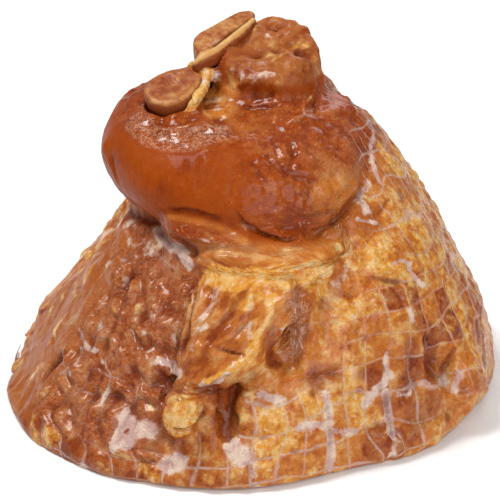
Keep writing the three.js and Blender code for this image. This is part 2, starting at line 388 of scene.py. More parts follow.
    def comb(self, weight, way, share=0.75):
        """Draws the grain of the patterns out along a way, where the weight is above 0."""
        way = np.array(way) / np.linalg.norm(way)
        middle = np.average(self.at, axis=0, weights=weight)
        along = (self.at - middle) @ way
        self.grain -= (share * weight * along)[:, None] * way

    def mark(self, layer, points, width, amount=1.0, top=False, edge=1.0, taper=0.0):
        """Paints a layer along a path, or takes it off if the amount is below 0. Edge is the share of
        the half width that fades out."""
        field = self.paint[layer]
        close, gap, share, _ = self.near(self.path(points, top), width * MM)
        strength = smooth(gap / (width * MM), 1, 1 - edge)
        if taper:
            strength *= smooth(share, 0, taper) * smooth(share, 1, 1 - taper)
        if amount > 0:
            field[close] = np.maximum(field[close], strength * amount)
        else:
            field[close] *= 1 + amount * strength

    def marks(self, layer, lines, **settings):
        """Paints a layer along several lines, each given by its places, half width and amount."""
        for points, width, amount in lines:
            self.mark(layer, points, width, amount, **settings)

    def spots(self, layer, points, width, amount=1.0, top=False, edge=1.0):
        """Paints a layer round each of some places."""
        for point in points:
            self.mark(layer, [point], width, amount, top, edge)

    def zone(self, angles, heights, fade=(8, 6)):
        """1 inside a span of compass angles and a span of heights, fading to 0 outside them."""
        middle, half = (angles[0] + angles[1]) / 2, (angles[1] - angles[0]) / 2
        off = np.abs((self.angle - middle + 180) % 360 - 180)
        inside = smooth(off, half + fade[0], half)
        inside *= smooth(self.height, heights[0] - fade[1], heights[0])
        return inside * smooth(self.height, heights[1] + fade[1], heights[1])

    def save_paint(self):
        """Keeps the painted layers, and the grain that patterns follow, as the mesh's attributes."""
        for layer, values in self.paint.items():
            attribute = self.piece.data.attributes.new(layer, "FLOAT", "POINT")
            attribute.data.foreach_set("value", values.astype(np.float32))
        place = self.at if self.grain is None else self.grain
        attribute = self.piece.data.attributes.new("grain", "FLOAT_VECTOR", "POINT")
        attribute.data.foreach_set("vector", place.astype(np.float32).ravel())


def finished(piece, material, slot, *nodes):
    """Smooth shading, a material, and the piece's place in the frame, where it replaces some nodes."""
    piece.data.materials.clear()
    piece.data.materials.append(material)
    piece.data.polygons.foreach_set("use_smooth", [True] * len(piece.data.polygons))
    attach(piece, BODY)
    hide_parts(*nodes)


# ---- Materials -----------------------------------------------------------------------------------


def add(tree, kind, inputs=None, **settings):
    """Adds a shader node, sets it, and gives each input a value or links it to another node's output."""
    made = tree.nodes.new(kind)
    for key, value in settings.items():
        setattr(made, key, value)
    for key, value in (inputs or {}).items():
        if isinstance(value, bpy.types.NodeSocket):
            tree.links.new(value, made.inputs[key])
        else:
            made.inputs[key].default_value = value
    return made


class Coat:
    """A finish being built up: its material, and the grain that its patterns follow."""

    def __init__(self, name, grained=True):
        self.material = bpy.data.materials.new(name)
        self.material.use_nodes = True
        self.tree = self.material.node_tree
        self.tree.nodes.clear()
        if grained:
            found = add(self.tree, "ShaderNodeAttribute", attribute_name="grain", attribute_type="GEOMETRY")
            self.grain = found.outputs["Vector"]

    def painted(self, name):
        """How strongly a layer is painted on the mesh."""
        found = add(self.tree, "ShaderNodeAttribute", attribute_name=name, attribute_type="GEOMETRY")
        return found.outputs["Fac"]

    def mottled(self, size_mm, detail, roughness, shift=0.0, distortion=0.0):
        """A pattern from 0 to 1 with lumps of a size in millimetres, drawn out along the grain."""
        place = {"Vector": self.grain, "Location": (shift, shift * 0.7, shift * 1.3)}
        inputs = {
            "Vector": add(self.tree, "ShaderNodeMapping", place).outputs["Vector"],
            "Scale": 1 / (size_mm * MM), "Detail": detail, "Roughness": roughness,
            "Distortion": distortion,
        }
        return add(self.tree, "ShaderNodeTexNoise", inputs).outputs["Fac"]

    def times(self, first, *others):
        """Patterns and values multiplied together."""
        for other in others:
            first = add(self.tree, "ShaderNodeMath", {0: first, 1: other}, operation="MULTIPLY").outputs[0]
        return first

    def weigh(self, start, *parts):
        """A starting pattern or value plus some patterns, each times its own weight."""
        for pattern, weight in parts:
            inputs = {0: pattern, 1: weight, 2: start}
            start = add(self.tree, "ShaderNodeMath", inputs, operation="MULTIPLY_ADD").outputs[0]
        return start

    def off_middle(self, pattern):
        """How far a pattern is above its middle."""
        return add(self.tree, "ShaderNodeMath", {0: pattern, 1: 0.5}, operation="SUBTRACT").outputs[0]

    def unsigned(self, pattern):
        """A pattern without its sign."""
        return add(self.tree, "ShaderNodeMath", {0: pattern}, operation="ABSOLUTE").outputs[0]

    def eased(self, pattern, low, high):
        """0 where a pattern is low and 1 where it is high, eased between them."""
        inputs = {"Value": pattern, "From Min": low, "From Max": high}
        found = add(self.tree, "ShaderNodeMapRange", inputs, interpolation_type="SMOOTHSTEP")
        return found.outputs["Result"]

    def squiggle(self, pattern, width):
        """1 along the lines where a pattern crosses its middle, and 0 past a width to their sides."""
        return self.eased(self.unsigned(self.off_middle(pattern)), width, 0.0)

    def ragged(self, name, pattern, amount, edge):
        """A painted layer whose soft edge is torn by a pattern."""
        torn = self.weigh(self.painted(name), (self.off_middle(pattern), amount))
        return self.eased(torn, 0.5 - edge, 0.5 + edge)

    def over(self, under, top, *shares):
        """A colour laid over another, as strongly as its shares multiplied. Both may be settings."""
        under, top = (c if isinstance(c, bpy.types.NodeSocket) else (*c, 1.0) for c in (under, top))
        inputs = {0: self.times(*shares), 6: under, 7: top}
        return add(self.tree, "ShaderNodeMix", inputs, data_type="RGBA").outputs[2]

    def three(self, pattern, low, middle, high, spread=0.13):
        """Three colours in turn, from where a pattern is low to where it is high."""
        shade = self.over(low, middle, self.eased(pattern, 0.5 - spread, 0.5))
        return self.over(shade, high, self.eased(pattern, 0.5, 0.5 + spread))

    def relief(self, height, depth_mm, below=None):
        """Relief that follows a pattern, laid over the relief below it."""
        inputs = {"Height": height, "Distance": depth_mm * MM, "Strength": 1.0}
        if below is not None:
            inputs["Normal"] = below
        return add(self.tree, "ShaderNodeBump", inputs).outputs["Normal"]

    def surface(self, inputs):
        """The finished material, with the inputs of its surface given by name."""
        shader = add(self.tree, "ShaderNodeBsdfPrincipled", inputs)
        add(self.tree, "ShaderNodeOutputMaterial", {"Surface": shader.outputs["BSDF"]})
        return self.material


def smoked_meat(colours):
    """Smoked pork, fat and rind: dried by smoke to a moist skin that gives small broken highlights."""
    coat = Coat("smoked_pork_fat_and_rind")
    # Stains are 15 and 6 mm across, fat flecks 2.8 mm and bundles of fibres 1.3 mm. The ripples of dried
    # juice, under 1 mm on the real thing, are drawn at 1.8 mm so that they show.
    broad = coat.mottled(15, 3, 0.5)
    patch = coat.mottled(6, 5, 0.55, shift=1.0)
    fleck = coat.mottled(2.8, 4, 0.55, shift=2.0)
    fine = coat.mottled(1.3, 3, 0.5, shift=3.0)
    ripple = coat.mottled(1.8, 2, 0.5, shift=4.0, distortion=1.0)
    mottle = coat.weigh(-0.4, (broad, 0.4), (patch, 0.7), (fleck, 0.5), (fine, 0.2))
    torn = coat.weigh(-0.25, (patch, 0.7), (fleck, 0.6), (fine, 0.2))
    clump = coat.weigh(-0.3, (broad, 0.5), (patch, 0.8), (fleck, 0.3))
    rough, wet = coat.painted("rough"), coat.painted("wet")

    # Lean is red brown, dried skin is tan, and meat with fat close under its skin is amber.
    lean = coat.three(mottle, colours.lean_dark, colours.lean, colours.lean_pale)
    amber = coat.three(mottle, colours.amber_dark, colours.amber, colours.amber_pale)
    tan = coat.three(mottle, colours.lean, colours.tan, colours.tan_pale, 0.2)
    fatty = coat.weigh(coat.painted("amber"), (patch, 0.6))
    shade = coat.over(lean, amber, coat.eased(fatty, 0.5, 1.1))
    dried = coat.weigh(coat.painted("tan"), (broad, 0.6))
    shade = coat.over(shade, tan, coat.eased(dried, 0.5, 1.1))

    # Rind is even where it is smooth, and mottled where it is wrinkled. Pale flecks on the wrinkled rind
    # stand in for small glints: painted highlight.
    even = coat.three(broad, colours.rind_dark, colours.rind, colours.rind, 0.25)
    wrinkled = coat.three(mottle, colours.rind_dark, colours.rind, colours.rind_pale)
    rind = coat.over(even, wrinkled, rough)
    rind = coat.over(rind, colours.juice_and_glint, rough, 0.4, coat.eased(fine, 0.62, 0.72))
    shade = coat.over(shade, rind, coat.ragged("rind", torn, 1.2, 0.25))

    # Cartilage of the joint is like the bone beside it.
    bone = coat.three(mottle, colours.bone_dark, colours.bone, colours.bone_pale, 0.25)
    shade = coat.over(shade, bone, coat.painted("bone"))

    # Fat is golden, with paler and browner flecks, and smoke stains whatever lies open to it. Where the
    # dark stain lies in cuts, pits and creases it is also painted shade.
    fat = coat.three(torn, colours.gold_dark, colours.gold, colours.gold_pale)
    fat = coat.over(fat, colours.white_fat, coat.eased(fine, 0.56, 0.7), 0.5)
    shade = coat.over(shade, fat, coat.ragged("gold", clump, 1.4, 0.2))
    shade = coat.over(shade, colours.gold_pale, coat.ragged("light", torn, 1.2, 0.3), 0.8)
    stain = coat.three(torn, colours.seam, colours.lean_dark, colours.lean)
    shade = coat.over(shade, stain, coat.ragged("dark", torn, 1.2, 0.3), 0.8)

    # The net's lines stay paler than the meat between them, and are lost in places.
    across, along = coat.unsigned(coat.painted("net_u")), coat.unsigned(coat.painted("net_v"))
    off_line = add(coat.tree, "ShaderNodeMath", {0: across, 1: along}, operation="MINIMUM").outputs[0]
    wander = coat.weigh(-0.65, (fleck, 0.6), (patch, 0.5), (fine, 0.2))
    line = coat.eased(coat.weigh(off_line, (wander, 0.9)), 0.21, 0.0)
    found = coat.weigh(-1.0, (torn, 1.2), (broad, 0.8), (coat.painted("net_shown"), 1.0))
    pressed = coat.over(colours.silver, colours.white_fat, 0.4)
    shade = coat.over(shade, pressed, line, coat.eased(found, 0.1, 0.7), 0.62)

    # Silver skin and raw fat are pale, with torn edges.
    silver = coat.over(colours.silver, colours.white_fat, coat.eased(patch, 0.45, 0.6))
    shade = coat.over(shade, silver, coat.ragged("pale", torn, 2.0, 0.25), 0.85)

    # Dried juice lies as thin pale ripples, which also stand in for small wet glints: painted highlight.
    # Whatever lies below the smoothed shape is darkened: painted shade in valleys and hollows.
    laid = coat.eased(coat.weigh(-0.5, (coat.painted("film"), 1.0), (patch, 1.0)), 0.2, 0.8)
    thick = coat.weigh(0.2, (wet, 0.45))
    shade = coat.over(shade, colours.juice_and_glint, coat.squiggle(ripple, 0.08), laid, thick)
    shade = coat.over(shade, colours.lean_dark, coat.eased(coat.painted("valley_shade"), 0.5, 0.85), 0.4)
    shade = coat.over(shade, colours.seam, coat.eased(coat.painted("hollow"), 0.53, 1.0), 0.65)

    skin = coat.relief(broad, 0.5)
    skin = coat.relief(coat.times(patch, rough), 1.0, skin)
    skin = coat.relief(coat.times(ripple, coat.weigh(0.05, (rough, 0.9), (wet, 0.9))), 1.0, skin)
    skin = coat.relief(fine, 0.3, skin)
    return coat.surface({
        "Base Color": shade,
        "Roughness": coat.weigh(0.3, (patch, 0.3)),
        "Normal": skin,
        "Coat Weight": coat.weigh(0.0, (rough, 0.4), (wet, 0.4)),
        "Coat Roughness": 0.13,
        "Coat IOR": 1.42,
        "Specular IOR Level": 0.07,
        "Subsurface Weight": 0.06,
        "Subsurface Radius": (0.003, 0.0012, 0.0006),
        "Subsurface Scale": 1.0,
        "IOR": 1.42,
    })


def sawn_bone(colours, name):
    """Smoked bone, sawn across: a hard pale rim, and marrow stained brown by the smoke. Marrow colour also
    serves as painted shade, and pale gold as a painted highlight.
    """
    coat = Coat(name)
    # Smoke clouds the bone over 7 mm, marrow spots are 2.5 mm and the saw's marks and pores 0.8 mm.
    cloud = coat.mottled(7, 4, 0.55)
    spot = coat.mottled(2.5, 4, 0.55, shift=2.0)
    pore = coat.mottled(0.8, 3, 0.6, shift=1.0)
    mottle = coat.weigh(-0.35, (cloud, 0.9), (spot, 0.5), (pore, 0.3))
    shade = coat.three(mottle, colours.bone_dark, colours.bone, colours.bone_pale, 0.2)
    # The pale and gold layers also hold the painted highlight on the edge of the shin bone's plate.
    shade = coat.over(shade, colours.bone_pale, coat.ragged("light", spot, 0.8, 0.35))
    shade = coat.over(shade, colours.gold_pale, coat.ragged("gold", spot, 0.9, 0.3), 0.8)
    # The marrow layer also holds painted shade on the bones' sides and round the shin bone's plate.
    shade = coat.over(shade, colours.bone_dark, coat.ragged("marrow", mottle, 0.9, 0.4), 0.85)
    shade = coat.over(shade, colours.silver, coat.ragged("pale", spot, 0.8, 0.3), 0.5)
    # Seam colour where the surface lies below its smoothed shape: painted shade.
    shade = coat.over(shade, colours.seam, coat.eased(coat.painted("hollow"), 0.53, 1.0), 0.6)
    skin = coat.relief(cloud, 0.4)
    skin = coat.relief(spot, 0.2, skin)
    skin = coat.relief(pore, 0.08, skin)
    return coat.surface({
        "Base Color": shade,
        "Roughness": coat.weigh(0.35, (cloud, 0.25)),
        "Normal": skin,
        "Coat Weight": 0.08,
        "Coat Roughness": 0.2,
        "Specular IOR Level": 0.15,
        "IOR": 1.5,
    })


def matt_paper():
    """Matt white paper: it scatters light evenly, so the shadow on it is soft and has no shine."""
    coat = Coat("matt_white_paper", grained=False)
    return coat.surface({"Base Color": (*linear("#f6f6f6"), 1.0), "Roughness": 0.9})


# ---- Shape of the meat ---------------------------------------------------------------------------

# Lines that are both cut into the meat and stained: cracks and the groove on the right, pits, hollows
# and a seam on the left, a slit in the flap, and the joint's crest, sunk lobe and strip. The dark stain
# in the cuts is also painted shade.
UPPER_CRACK = [(307, 66), (311, 64.5), (314, 63), (316.5, 62)]
LOWER_CRACK = [(311, 62), (312.5, 59.5), (313, 56.5)]
HIGH_CRACK = [(326, 87), (322, 85), (319, 84)]
GROOVE = [(319.5, 44), (318.5, 37), (318, 32), (317, 26)]
GROOVE_BRANCH = [(325, 34), (323.5, 30), (322, 26)]
LOW_PIT = [(213, 28), (209.5, 22), (211, 17)]
HIGH_PIT = [(226, 61), (221.5, 56.5), (221, 52)]
HOLLOWS = [(241, 43), (246, 43), (239, 34), (236, 24), (229, 27), (247, 34), (230, 22), (244, 57)]
LEFT_SEAM = [(228, 33), (233, 31), (233.5, 27), (233, 22)]
FLAP_SLIT = [(262, 49.5), (265, 49), (268.5, 48)]
CREST = [(-5, -6), (-2, -6), (2, -7), (7, -8), (11, -7), (15, -2), (18, 5), (20, 9)]
LOBE = [(-7, -1), (-3, 2), (2, 2), (5, 5)]
STRIP = [(5, 6), (9, 5), (13, 4)]


def top_of_knuckle():
    """The joint, and scraps that no cut made: the fat strand beside the heel bone, the nub and fibres."""
    strand = [(-16.4, 1, 126), (-16.6, -4.5, 124.3), (-17.4, -10, 122.5), (-19.4, -15.5, 120.6),
              (-22.4, -20, 118.4)]
    return [
        node_copy("joint_bone", "joint", 1.04),
        cord(strand, [2.2, 2.9, 2.7, 3, 2.2]),
        cord([(-21, 6, 118), (-21.4, 3, 125), (-21.4, 2, 129)], [4, 3.6, 3]),
        cord([(-14, 1, 121), (-13.5, -1, 126), (-14.5, -1.5, 129)], [1.6, 1.2, 0.8]),
        cord([(-11.5, -1, 122), (-11, -2.5, 127), (-11.8, -2.5, 130)], [1.6, 1.2, 0.7]),
    ]


def fold_the_collar(clay):
    """The creases under the roll of rind, its ragged rim and the knot on its left."""
    clay.stroke([(262, 96), (268, 91.5), (275, 89), (284, 86)], 6, 1.6)
    clay.stroke([(286, 81), (294, 82), (300, 84), (306, 87), (311, 90), (317, 92), (324, 96)], 2.5, -2.4)
    clay.stroke([(150, 66), (171, 68), (198, 73), (214, 75), (222, 77), (232, 82)], 3, -2.5)
    clay.dab([(196, 100)], 7, 1.8)
    clay.stroke([(203, 101), (205, 96), (208, 90)], 2, -2.4)
    clay.stroke([(-38, -20), (-34, -24), (-29, -26), (-23, -25), (-19, -20)], 7, -3, top=True)
    clay.stroke([(-37, -28), (-32, -31), (-27, -31), (-22, -31), (-17, -29), (-13, -24)], 3.2, 2,
                top=True, waver=0.4)
    for step in range(5):
        arc = [(-41, -22 - step), (-35, -29.5 - step * 1.6), (-28, -34 - step * 1.8),
               (-20, -35 - step * 1.8), (-13, -31 - step)]
        clay.stroke(arc, 1.2, -0.9, top=True, waver=0.7)


def crease_the_collar(clay):
    """The overhangs where the roll of rind lies on the shoulder."""
    for line, rise, depth in (
        ([(238, 90), (242, 90.5), (247, 91), (252, 90.5), (257, 89.5), (261, 88.5)], 0.5, 2.6),
        ([(263, 94), (266, 90.5), (269, 87.5), (273, 84.5), (277, 83), (282, 82), (289, 82)], 1.2, 3.8),
    ):
        clay.ledge(line, 4.5, rise, 1.4, waver=0.3)
        clay.settle()
        clay.stroke(line, 1.25, -depth, taper=0.4)
        clay.settle()


def fold_the_shoulder(clay):
    """The fold of meat under the collar, and the silver skin below its left end."""
    clay.stroke([(238, 81.5), (247, 81.5), (254, 81.5), (260, 81)], 2, 1.2)
    clay.stroke([(240, 79), (246, 77), (252, 78), (262, 79), (270, 78.5), (279, 77), (287, 76)], 2.6, -2)
    clay.stroke([(240, 78), (246, 75.5), (252, 73)], 4, -4)
    clay.ledge([(252, 69), (249, 72), (243, 73), (234, 72), (225, 73.5), (216, 74)], 5, 0.4, 1.8)
    clay.stroke([(216, 73), (225, 72), (234, 70.5), (243, 71), (250, 68)], 3, 1.0)


def cut_the_flap(clay):
    """The leaf that hangs from the shoulder, its ridges and stripes, the knob, the pit and the cleft."""
    clay.ledge([(253, 70), (252, 63), (252.5, 58), (252, 52), (251, 46), (251, 41), (253, 37)], 6, 2.8, 2.6)
    clay.ledge([(270, 40), (272.5, 46), (273.5, 53), (275.5, 58), (279, 63), (285, 67), (291, 71)],
               5, 2, 1)
    clay.ledge([(254, 36), (259, 36.5), (262, 38.5), (266, 43), (270, 47)], 5, 2.6, 4)
    clay.stroke([(283, 67), (283.5, 54), (282, 41)], 11, 4.6)
    clay.stroke([(275, 51), (275, 47), (275, 43)], 3, -1.6, taper=0, waver=0.3)
    clay.stroke([(285, 67), (286, 58), (286, 50), (284, 43)], 2.4, 1.2)
    clay.stroke([(269, 35), (268.5, 30), (267.5, 25)], 5, 2.6)
    clay.stroke([(260, 36), (262.5, 35), (263.5, 30), (263, 25)], 2.6, -3, taper=0.1, waver=0.4)
    clay.stroke([(263, 23), (264, 20), (265.5, 16)], 1.6, -1.2)
    clay.dab([(255, 31), (254, 27.5)], 7, 2.2)


def crease_the_flap(clay):
    """The flap's narrow ridge, its stripes and slit, and the outline of its knob."""
    clay.stroke([(273, 65), (275, 61), (272, 57), (271, 51), (269, 46), (265.5, 43), (262, 39)], 2.6, 1.2,
                waver=0.5)
    clay.stroke([(267, 63), (264, 59), (260, 53), (257, 48)], 3.6, -1.4, waver=0.4)
    clay.stroke([(271, 66), (269, 58), (264, 51)], 1.8, -0.8, waver=0.5)
    clay.stroke([(256, 66), (260, 62), (257, 56)], 1.8, -0.8, waver=0.5)
    clay.stroke([(255, 66), (255, 60), (253.5, 53)], 2.6, 0.8)
    clay.stroke(FLAP_SLIT, 0.9, -2, waver=0.4)
    clay.stroke([(254, 47), (258, 49), (263, 46)], 2.6, 0.8)
    clay.stroke([(252, 68), (253, 61), (253, 52), (252, 45), (253, 40)], 1.6, -1.6, waver=0.3)
    knob = [(253, 37.5), (249.5, 34), (249, 30), (250.5, 26), (255, 23.5), (259, 25), (260.5, 30)]
    clay.stroke(knob, 1.6, -2.4, taper=0.1, waver=0.3)
    clay.stroke([(252, 31), (254.5, 33.5), (257.5, 31.5), (256.5, 28.5)], 1.0, -1.0, waver=0.5)
    clay.stroke([(279, 73), (285, 70), (290, 74)], 1.4, -0.8, waver=0.5)
    clay.stroke([(276, 71), (278, 67), (283, 68)], 1.2, -0.6, waver=0.5)
    clay.stroke([(287, 67), (291, 69.5), (295, 71)], 1.0, -1.2, waver=0.4)


def gouge_the_right(clay):
    """The groove and cracks on the right, and the two deep cuts that the net left at the foot."""
    clay.stroke([(320.5, 38), (320, 32), (318, 26)], 3.4, -2.2, taper=0.2, waver=0.4)
    clay.stroke(UPPER_CRACK, 1.5, -2.2, waver=0.5)
    clay.stroke(LOWER_CRACK, 1.4, -2.2, waver=0.5)
    clay.stroke(HIGH_CRACK, 1.3, -1.4, waver=0.4)
    clay.ledge([(306, 66), (313, 67), (318, 63)], 4, 1.2, 0.5)
    clay.ledge([(313, 57), (315, 51), (317, 46), (319, 42)], 5, 1.2, 0.8)
    clay.stroke(GROOVE, 4, -4.4, waver=0.4)
    clay.stroke([(312, 42), (312.5, 34), (314, 25)], 7, -1.2)
    clay.stroke(GROOVE_BRANCH, 1.5, -2.4)
    clay.dab([(323.5, 19.5), (325, 15)], 2.4, -1.8)
    clay.ledge([(322, 12), (320.5, 19), (323, 26)], 4, 0.2, 1.2)
    clay.stroke([(343, 56), (340, 49), (338, 41), (331, 38), (328, 30)], 1.6, -1.0)
    clay.stroke([(311, 86), (315, 83.5), (322, 85)], 2, -1.3, waver=0.4)
    clay.stroke([(298, 60), (301, 64)], 1.8, -1.2)
    clay.stroke([(285, 37), (288, 37), (292, 38)], 1.6, -1.2, waver=0.5)
    clay.dab([(299, 51), (287, 33), (308, 74)], 2.6, -1.2)
    clay.stroke([(304, 24), (304, 12), (303, 1)], 2.2, -2.4, taper=0)
    clay.stroke([(288, 32), (288.5, 19), (288, 1)], 1.8, -1.5, taper=0)
    clay.stroke([(270, 3), (270.5, 9)], 1.8, -1.2)


def pit_the_left(clay):
    """The pits on the left, and the lumps and hollows of its torn muscle."""
    clay.stroke(LOW_PIT, 4, -4.6, waver=0.3)
    clay.stroke(HIGH_PIT, 4.4, -2.2, waver=0.3)
    clay.stroke([(195, 43.5), (190, 40)], 1.7, -1.8)
    clay.dab([(207, 67)], 2.4, -1.6)
    clay.stroke([(208, 62), (205, 60), (201, 55)], 1.5, -1.2)
    clay.dab(HOLLOWS, 5, -2.2)
    lumps = [(217, 40), (223, 41), (233, 39), (239, 47), (240, 53), (246, 50), (236, 57), (224, 32)]
    clay.dab(lumps, 5.5, 1.8)
    clay.dab([(228, 48), (231, 62), (243, 29), (235, 30), (214, 55), (248, 61)], 5, 1.4)
    clay.stroke(LEFT_SEAM, 1.2, -0.8)


def tear_the_knuckle(clay):
    """The seam at the joint's foot, and the torn tissue round that."""
    clay.stroke([(262, 121.5), (276, 121), (292, 121.5), (304, 121)], 4.5, -1.8)
    clay.stroke([(-20, 1), (-20, -6), (-20.5, -12), (-22.5, -18)], 1.2, -1.8, top=True)
    clay.dab([(-9, -33), (-12, -23), (-3, -22), (5, -27)], 3.4, -1.2, top=True)
    clay.dab([(-7, -28), (-11, -18), (-2, -29), (1, -21), (10, -24)], 3.8, 1.2, top=True)


def dish_the_joint(clay):
    """The joint's worn face: its golden crest, sunk lobe, strip, pit and pale lip."""
    clay.lift(CREST, 3, 1.3, taper=0.1)
    clay.lift(LOBE, 4, -1.6)
    clay.lift([(7, 20), (12, 19), (18, 16)], 4, 1.4, taper=0.1)
    clay.lift([(6, 17), (9, 16), (12, 14)], 3.4, -1.4)
    clay.lift([(3, 18), (2, 12), (1, 6)], 2, 1.2)
    clay.lift([(5, 10), (8, 11), (12, 9)], 3, 0.9)
    clay.lift(STRIP, 1.8, -0.9)
    clay.settle()
    clay.stroke([(20, 1), (23, 1)], 3.8, -2.4, top=True, taper=0)
    clay.stroke([(-7, -8), (-4, -10), (1, -12), (6, -12)], 1.8, 0.7, top=True, waver=0.4)
    clay.settle()
    clay.stroke([(255, 117.5), (266, 117), (278, 117.5), (292, 118), (303, 118.5)], 1.4, -1.1, waver=0.5)
    clay.stroke([(342, 121), (334, 119.5), (321, 117.5), (307, 116), (292, 115)], 1.4, 1.0, waver=0.4)
    clay.stroke([(338, 118.5), (328, 117), (314, 115)], 1.1, -1.4, waver=0.4)
    clay.settle()


def wrinkle_the_collar(clay):
    """The star of wrinkles on the front of the collar, where the rind was pulled together."""
    for line, width, depth in (
        ([(276, 111), (279, 107), (282, 105), (285, 103), (290, 102), (295, 101)], 2.6, 1.2),
        ([(292, 112), (291, 109), (288, 105.5), (285, 103)], 2.4, 1.1),
        ([(270, 109), (272, 105), (276, 101)], 2.2, 0.8),
        ([(282, 112), (283, 108), (284, 104)], 2, 0.8),
        ([(287, 97), (289, 101), (293, 99), (292, 95), (289, 91)], 2, 1.0),
        ([(293, 88), (300, 92), (309, 95), (316, 98)], 2.6, 0.8),
        ([(300, 112), (302, 105), (299, 99)], 2.4, 0.7),
        ([(313, 114), (314, 107), (310, 101)], 2.4, 0.7),
        ([(249, 109), (250, 104), (250, 96)], 1.3, 0.8),
        ([(255, 108), (253, 102), (251, 97)], 1.3, 0.7),
        ([(243, 108), (245, 103), (246, 98)], 1.3, 0.6),
        ([(262, 106), (263, 100), (262, 95)], 1.5, 0.7),
    ):
        clay.stroke(line, width, -depth, waver=0.6)
    clay.dab([(291, 98)], 2.8, 0.9)


def comb_the_grain(clay):
    """Draws the patterns out along the fibres of each part."""
    clay.grain = clay.at.copy()
    clay.comb(clay.zone((252, 281), (36, 70), (3, 3)), (-0.73, -0.4, -0.56), 0.5)
    clay.comb(clay.zone((236, 300), (76, 87), (6, 3)), (0.95, -0.15, -0.15), 0.5)
    clay.comb(clay.zone((284, 290), (40, 66), (3, 4)), (0, -0.3, -0.95), 0.25)
    clay.comb(clay.zone((170, 206), (30, 76), (10, 8)), (-0.5, -0.3, -0.8), 0.15)


def scattered(turn, up, across, along):
    """A number from 0 to 1 for each cell of the net, as if drawn by lot. Other weights across and along
    the net give another draw."""
    return np.sin(np.floor(turn) * across + np.floor(up) * along) * 43758.5453 % 1


def press_net(clay, sizes):
    """Presses the net into the flanks, and paints where its lines run and how each cell took the smoke."""
    tall = 26 * clay.zone((330, 385), (60, 125), (16, 4))
    facing = clay.out[:, 2]
    flank = smooth(clay.height - tall, 90, 78) * smooth(facing, 0.93, 0.8) * smooth(facing, -0.9, -0.5)
    flank *= 1 - clay.zone((252, 288), (36, 80), (3, 4))
    left = clay.zone((218, 250), (14, 60), (8, 8))
    back = clay.zone((10, 165), (0, 90), (20, 8))
    foot = clay.zone((225, 310), (0, 30), (10, 10))
    drift = noise_at(clay.at, 30 * MM, 2, 3.0)
    lift = noise_at(clay.at, 26 * MM, 2, 4.0)
    rows = clay.height * MM / sizes.net_row
    up = rows * (1 + 0.15 * smooth(rows, 3, 7)) + lift * 0.6 - 0.3 * smooth(clay.angle, 270, 300)
    up += left * (0.6 * lift + 0.05 * (clay.angle - 225))
    turn = clay.angle / 360 * sizes.net_count + drift * 0.6 + left * (drift * 0.9 + rows * 0.35)
    across, along = np.sin(np.pi * turn), np.sin(np.pi * up)
    cell = scattered(turn, up, 12.9898, 78.233)
    stain = scattered(turn, up, 39.346, 11.135)
    pillow = (across * along) ** 2
    near_line = np.minimum(np.abs(across), np.abs(along))
    faint = smooth(noise_at(clay.at, 22 * MM, 2, 6.0), -0.35, 0.35)
    swell = 0.3 + 1.8 * left + 0.4 * back + 0.3 * foot
    cut = (0.15 + 0.25 * foot + 0.15 * back) * smooth(near_line, 0.3, 0) * (0.3 + 0.7 * faint)
    clay.raise_by(flank * (swell * (pillow * (0.3 + 1.2 * cell) - 0.4) - cut))
    clay.paint["net_u"] = across
    clay.paint["net_v"] = along
    clay.paint["cell"] = (cell - 0.5) * smooth(near_line, 0, 0.2)
    lean = clay.zone((300, 345), (4, 60), (12, 8))
    clay.paint["amber"] -= 0.85 * lean * smooth(stain, 0.45, 0.75) * smooth(near_line, 0, 0.3)
    clay.paint["gold"] -= 0.35 * lean * smooth(stain, 0.5, 0.8)
    cleft = clay.zone((256, 267), (22, 40), (3, 3))
    right_edge = clay.zone((330, 372), (40, 116), (20, 8)) * flank
    smooth_left = clay.zone((150, 212), (0, 90), (10, 8))
    shown = flank * (0.1 + 0.35 * faint + 0.5 * foot + 0.15 * back) - 0.5 * left
    clay.paint["net_shown"] = shown - 1.2 * cleft + (0.4 * right_edge - 0.5 * smooth_left)


def roughen(clay):
    """Fine relief: lumps on the flanks, wrinkles on the torn parts, hardly any on the smooth rind."""
    rough = clay.paint["rough"]
    base = smooth(clay.height, 0.5, 4)
    left = clay.zone((206, 250), (10, 72), (8, 8))
    clay.raise_by(base * left * noise_at(clay.at, 12 * MM, 2, 8.0) * 1.3)
    lumps = noise_at(clay.grain, 9 * MM, 3, 2.0)
    crinkle = noise_at(clay.grain, 4 * MM, 3, 5.0)
    torn = lumps * 0.7 + crinkle * (0.4 - 0.25 * left)
    clay.raise_by(base * (rough * torn + (1 - rough) * lumps * 0.15))
    clay.at[:, 2] = np.maximum(clay.at[:, 2], 0)
    clay.settle()


def swell_the_flanks(clay):
    """Broad swells and hollows of the flanks."""
    clay.raise_by(smooth(clay.height, 0.5, 6) * noise_at(clay.at, 26 * MM, 2, 1.0) * 1.2)
    clay.raise_by(0.8 * smooth(clay.height, 8, 2) * smooth(np.abs(clay.out[:, 2]), 0.9, 0.5))
    for angles, heights, rise in (
        ((155, 186), (54, 64), -2.6), ((165, 206), (68, 76), 1.4), ((146, 176), (14, 34), 1.6),
        ((158, 184), (0, 8), -2), ((218, 238), (0, 12), 2), ((306, 316), (0, 8), 1.6),
        ((322, 333), (0, 12), -1.2), ((-10, 20), (80, 106), 1.0), ((-10, 14), (46, 62), -2),
        ((-5, 25), (122, 140), -1.6), ((8, 32), (108, 118), -2.4), ((120, 166), (116, 126), -3.2),
        ((-6, 12), (2, 10), 1.2),
    ):
        clay.raise_by(rise * clay.zone(angles, heights, (12, 6)))


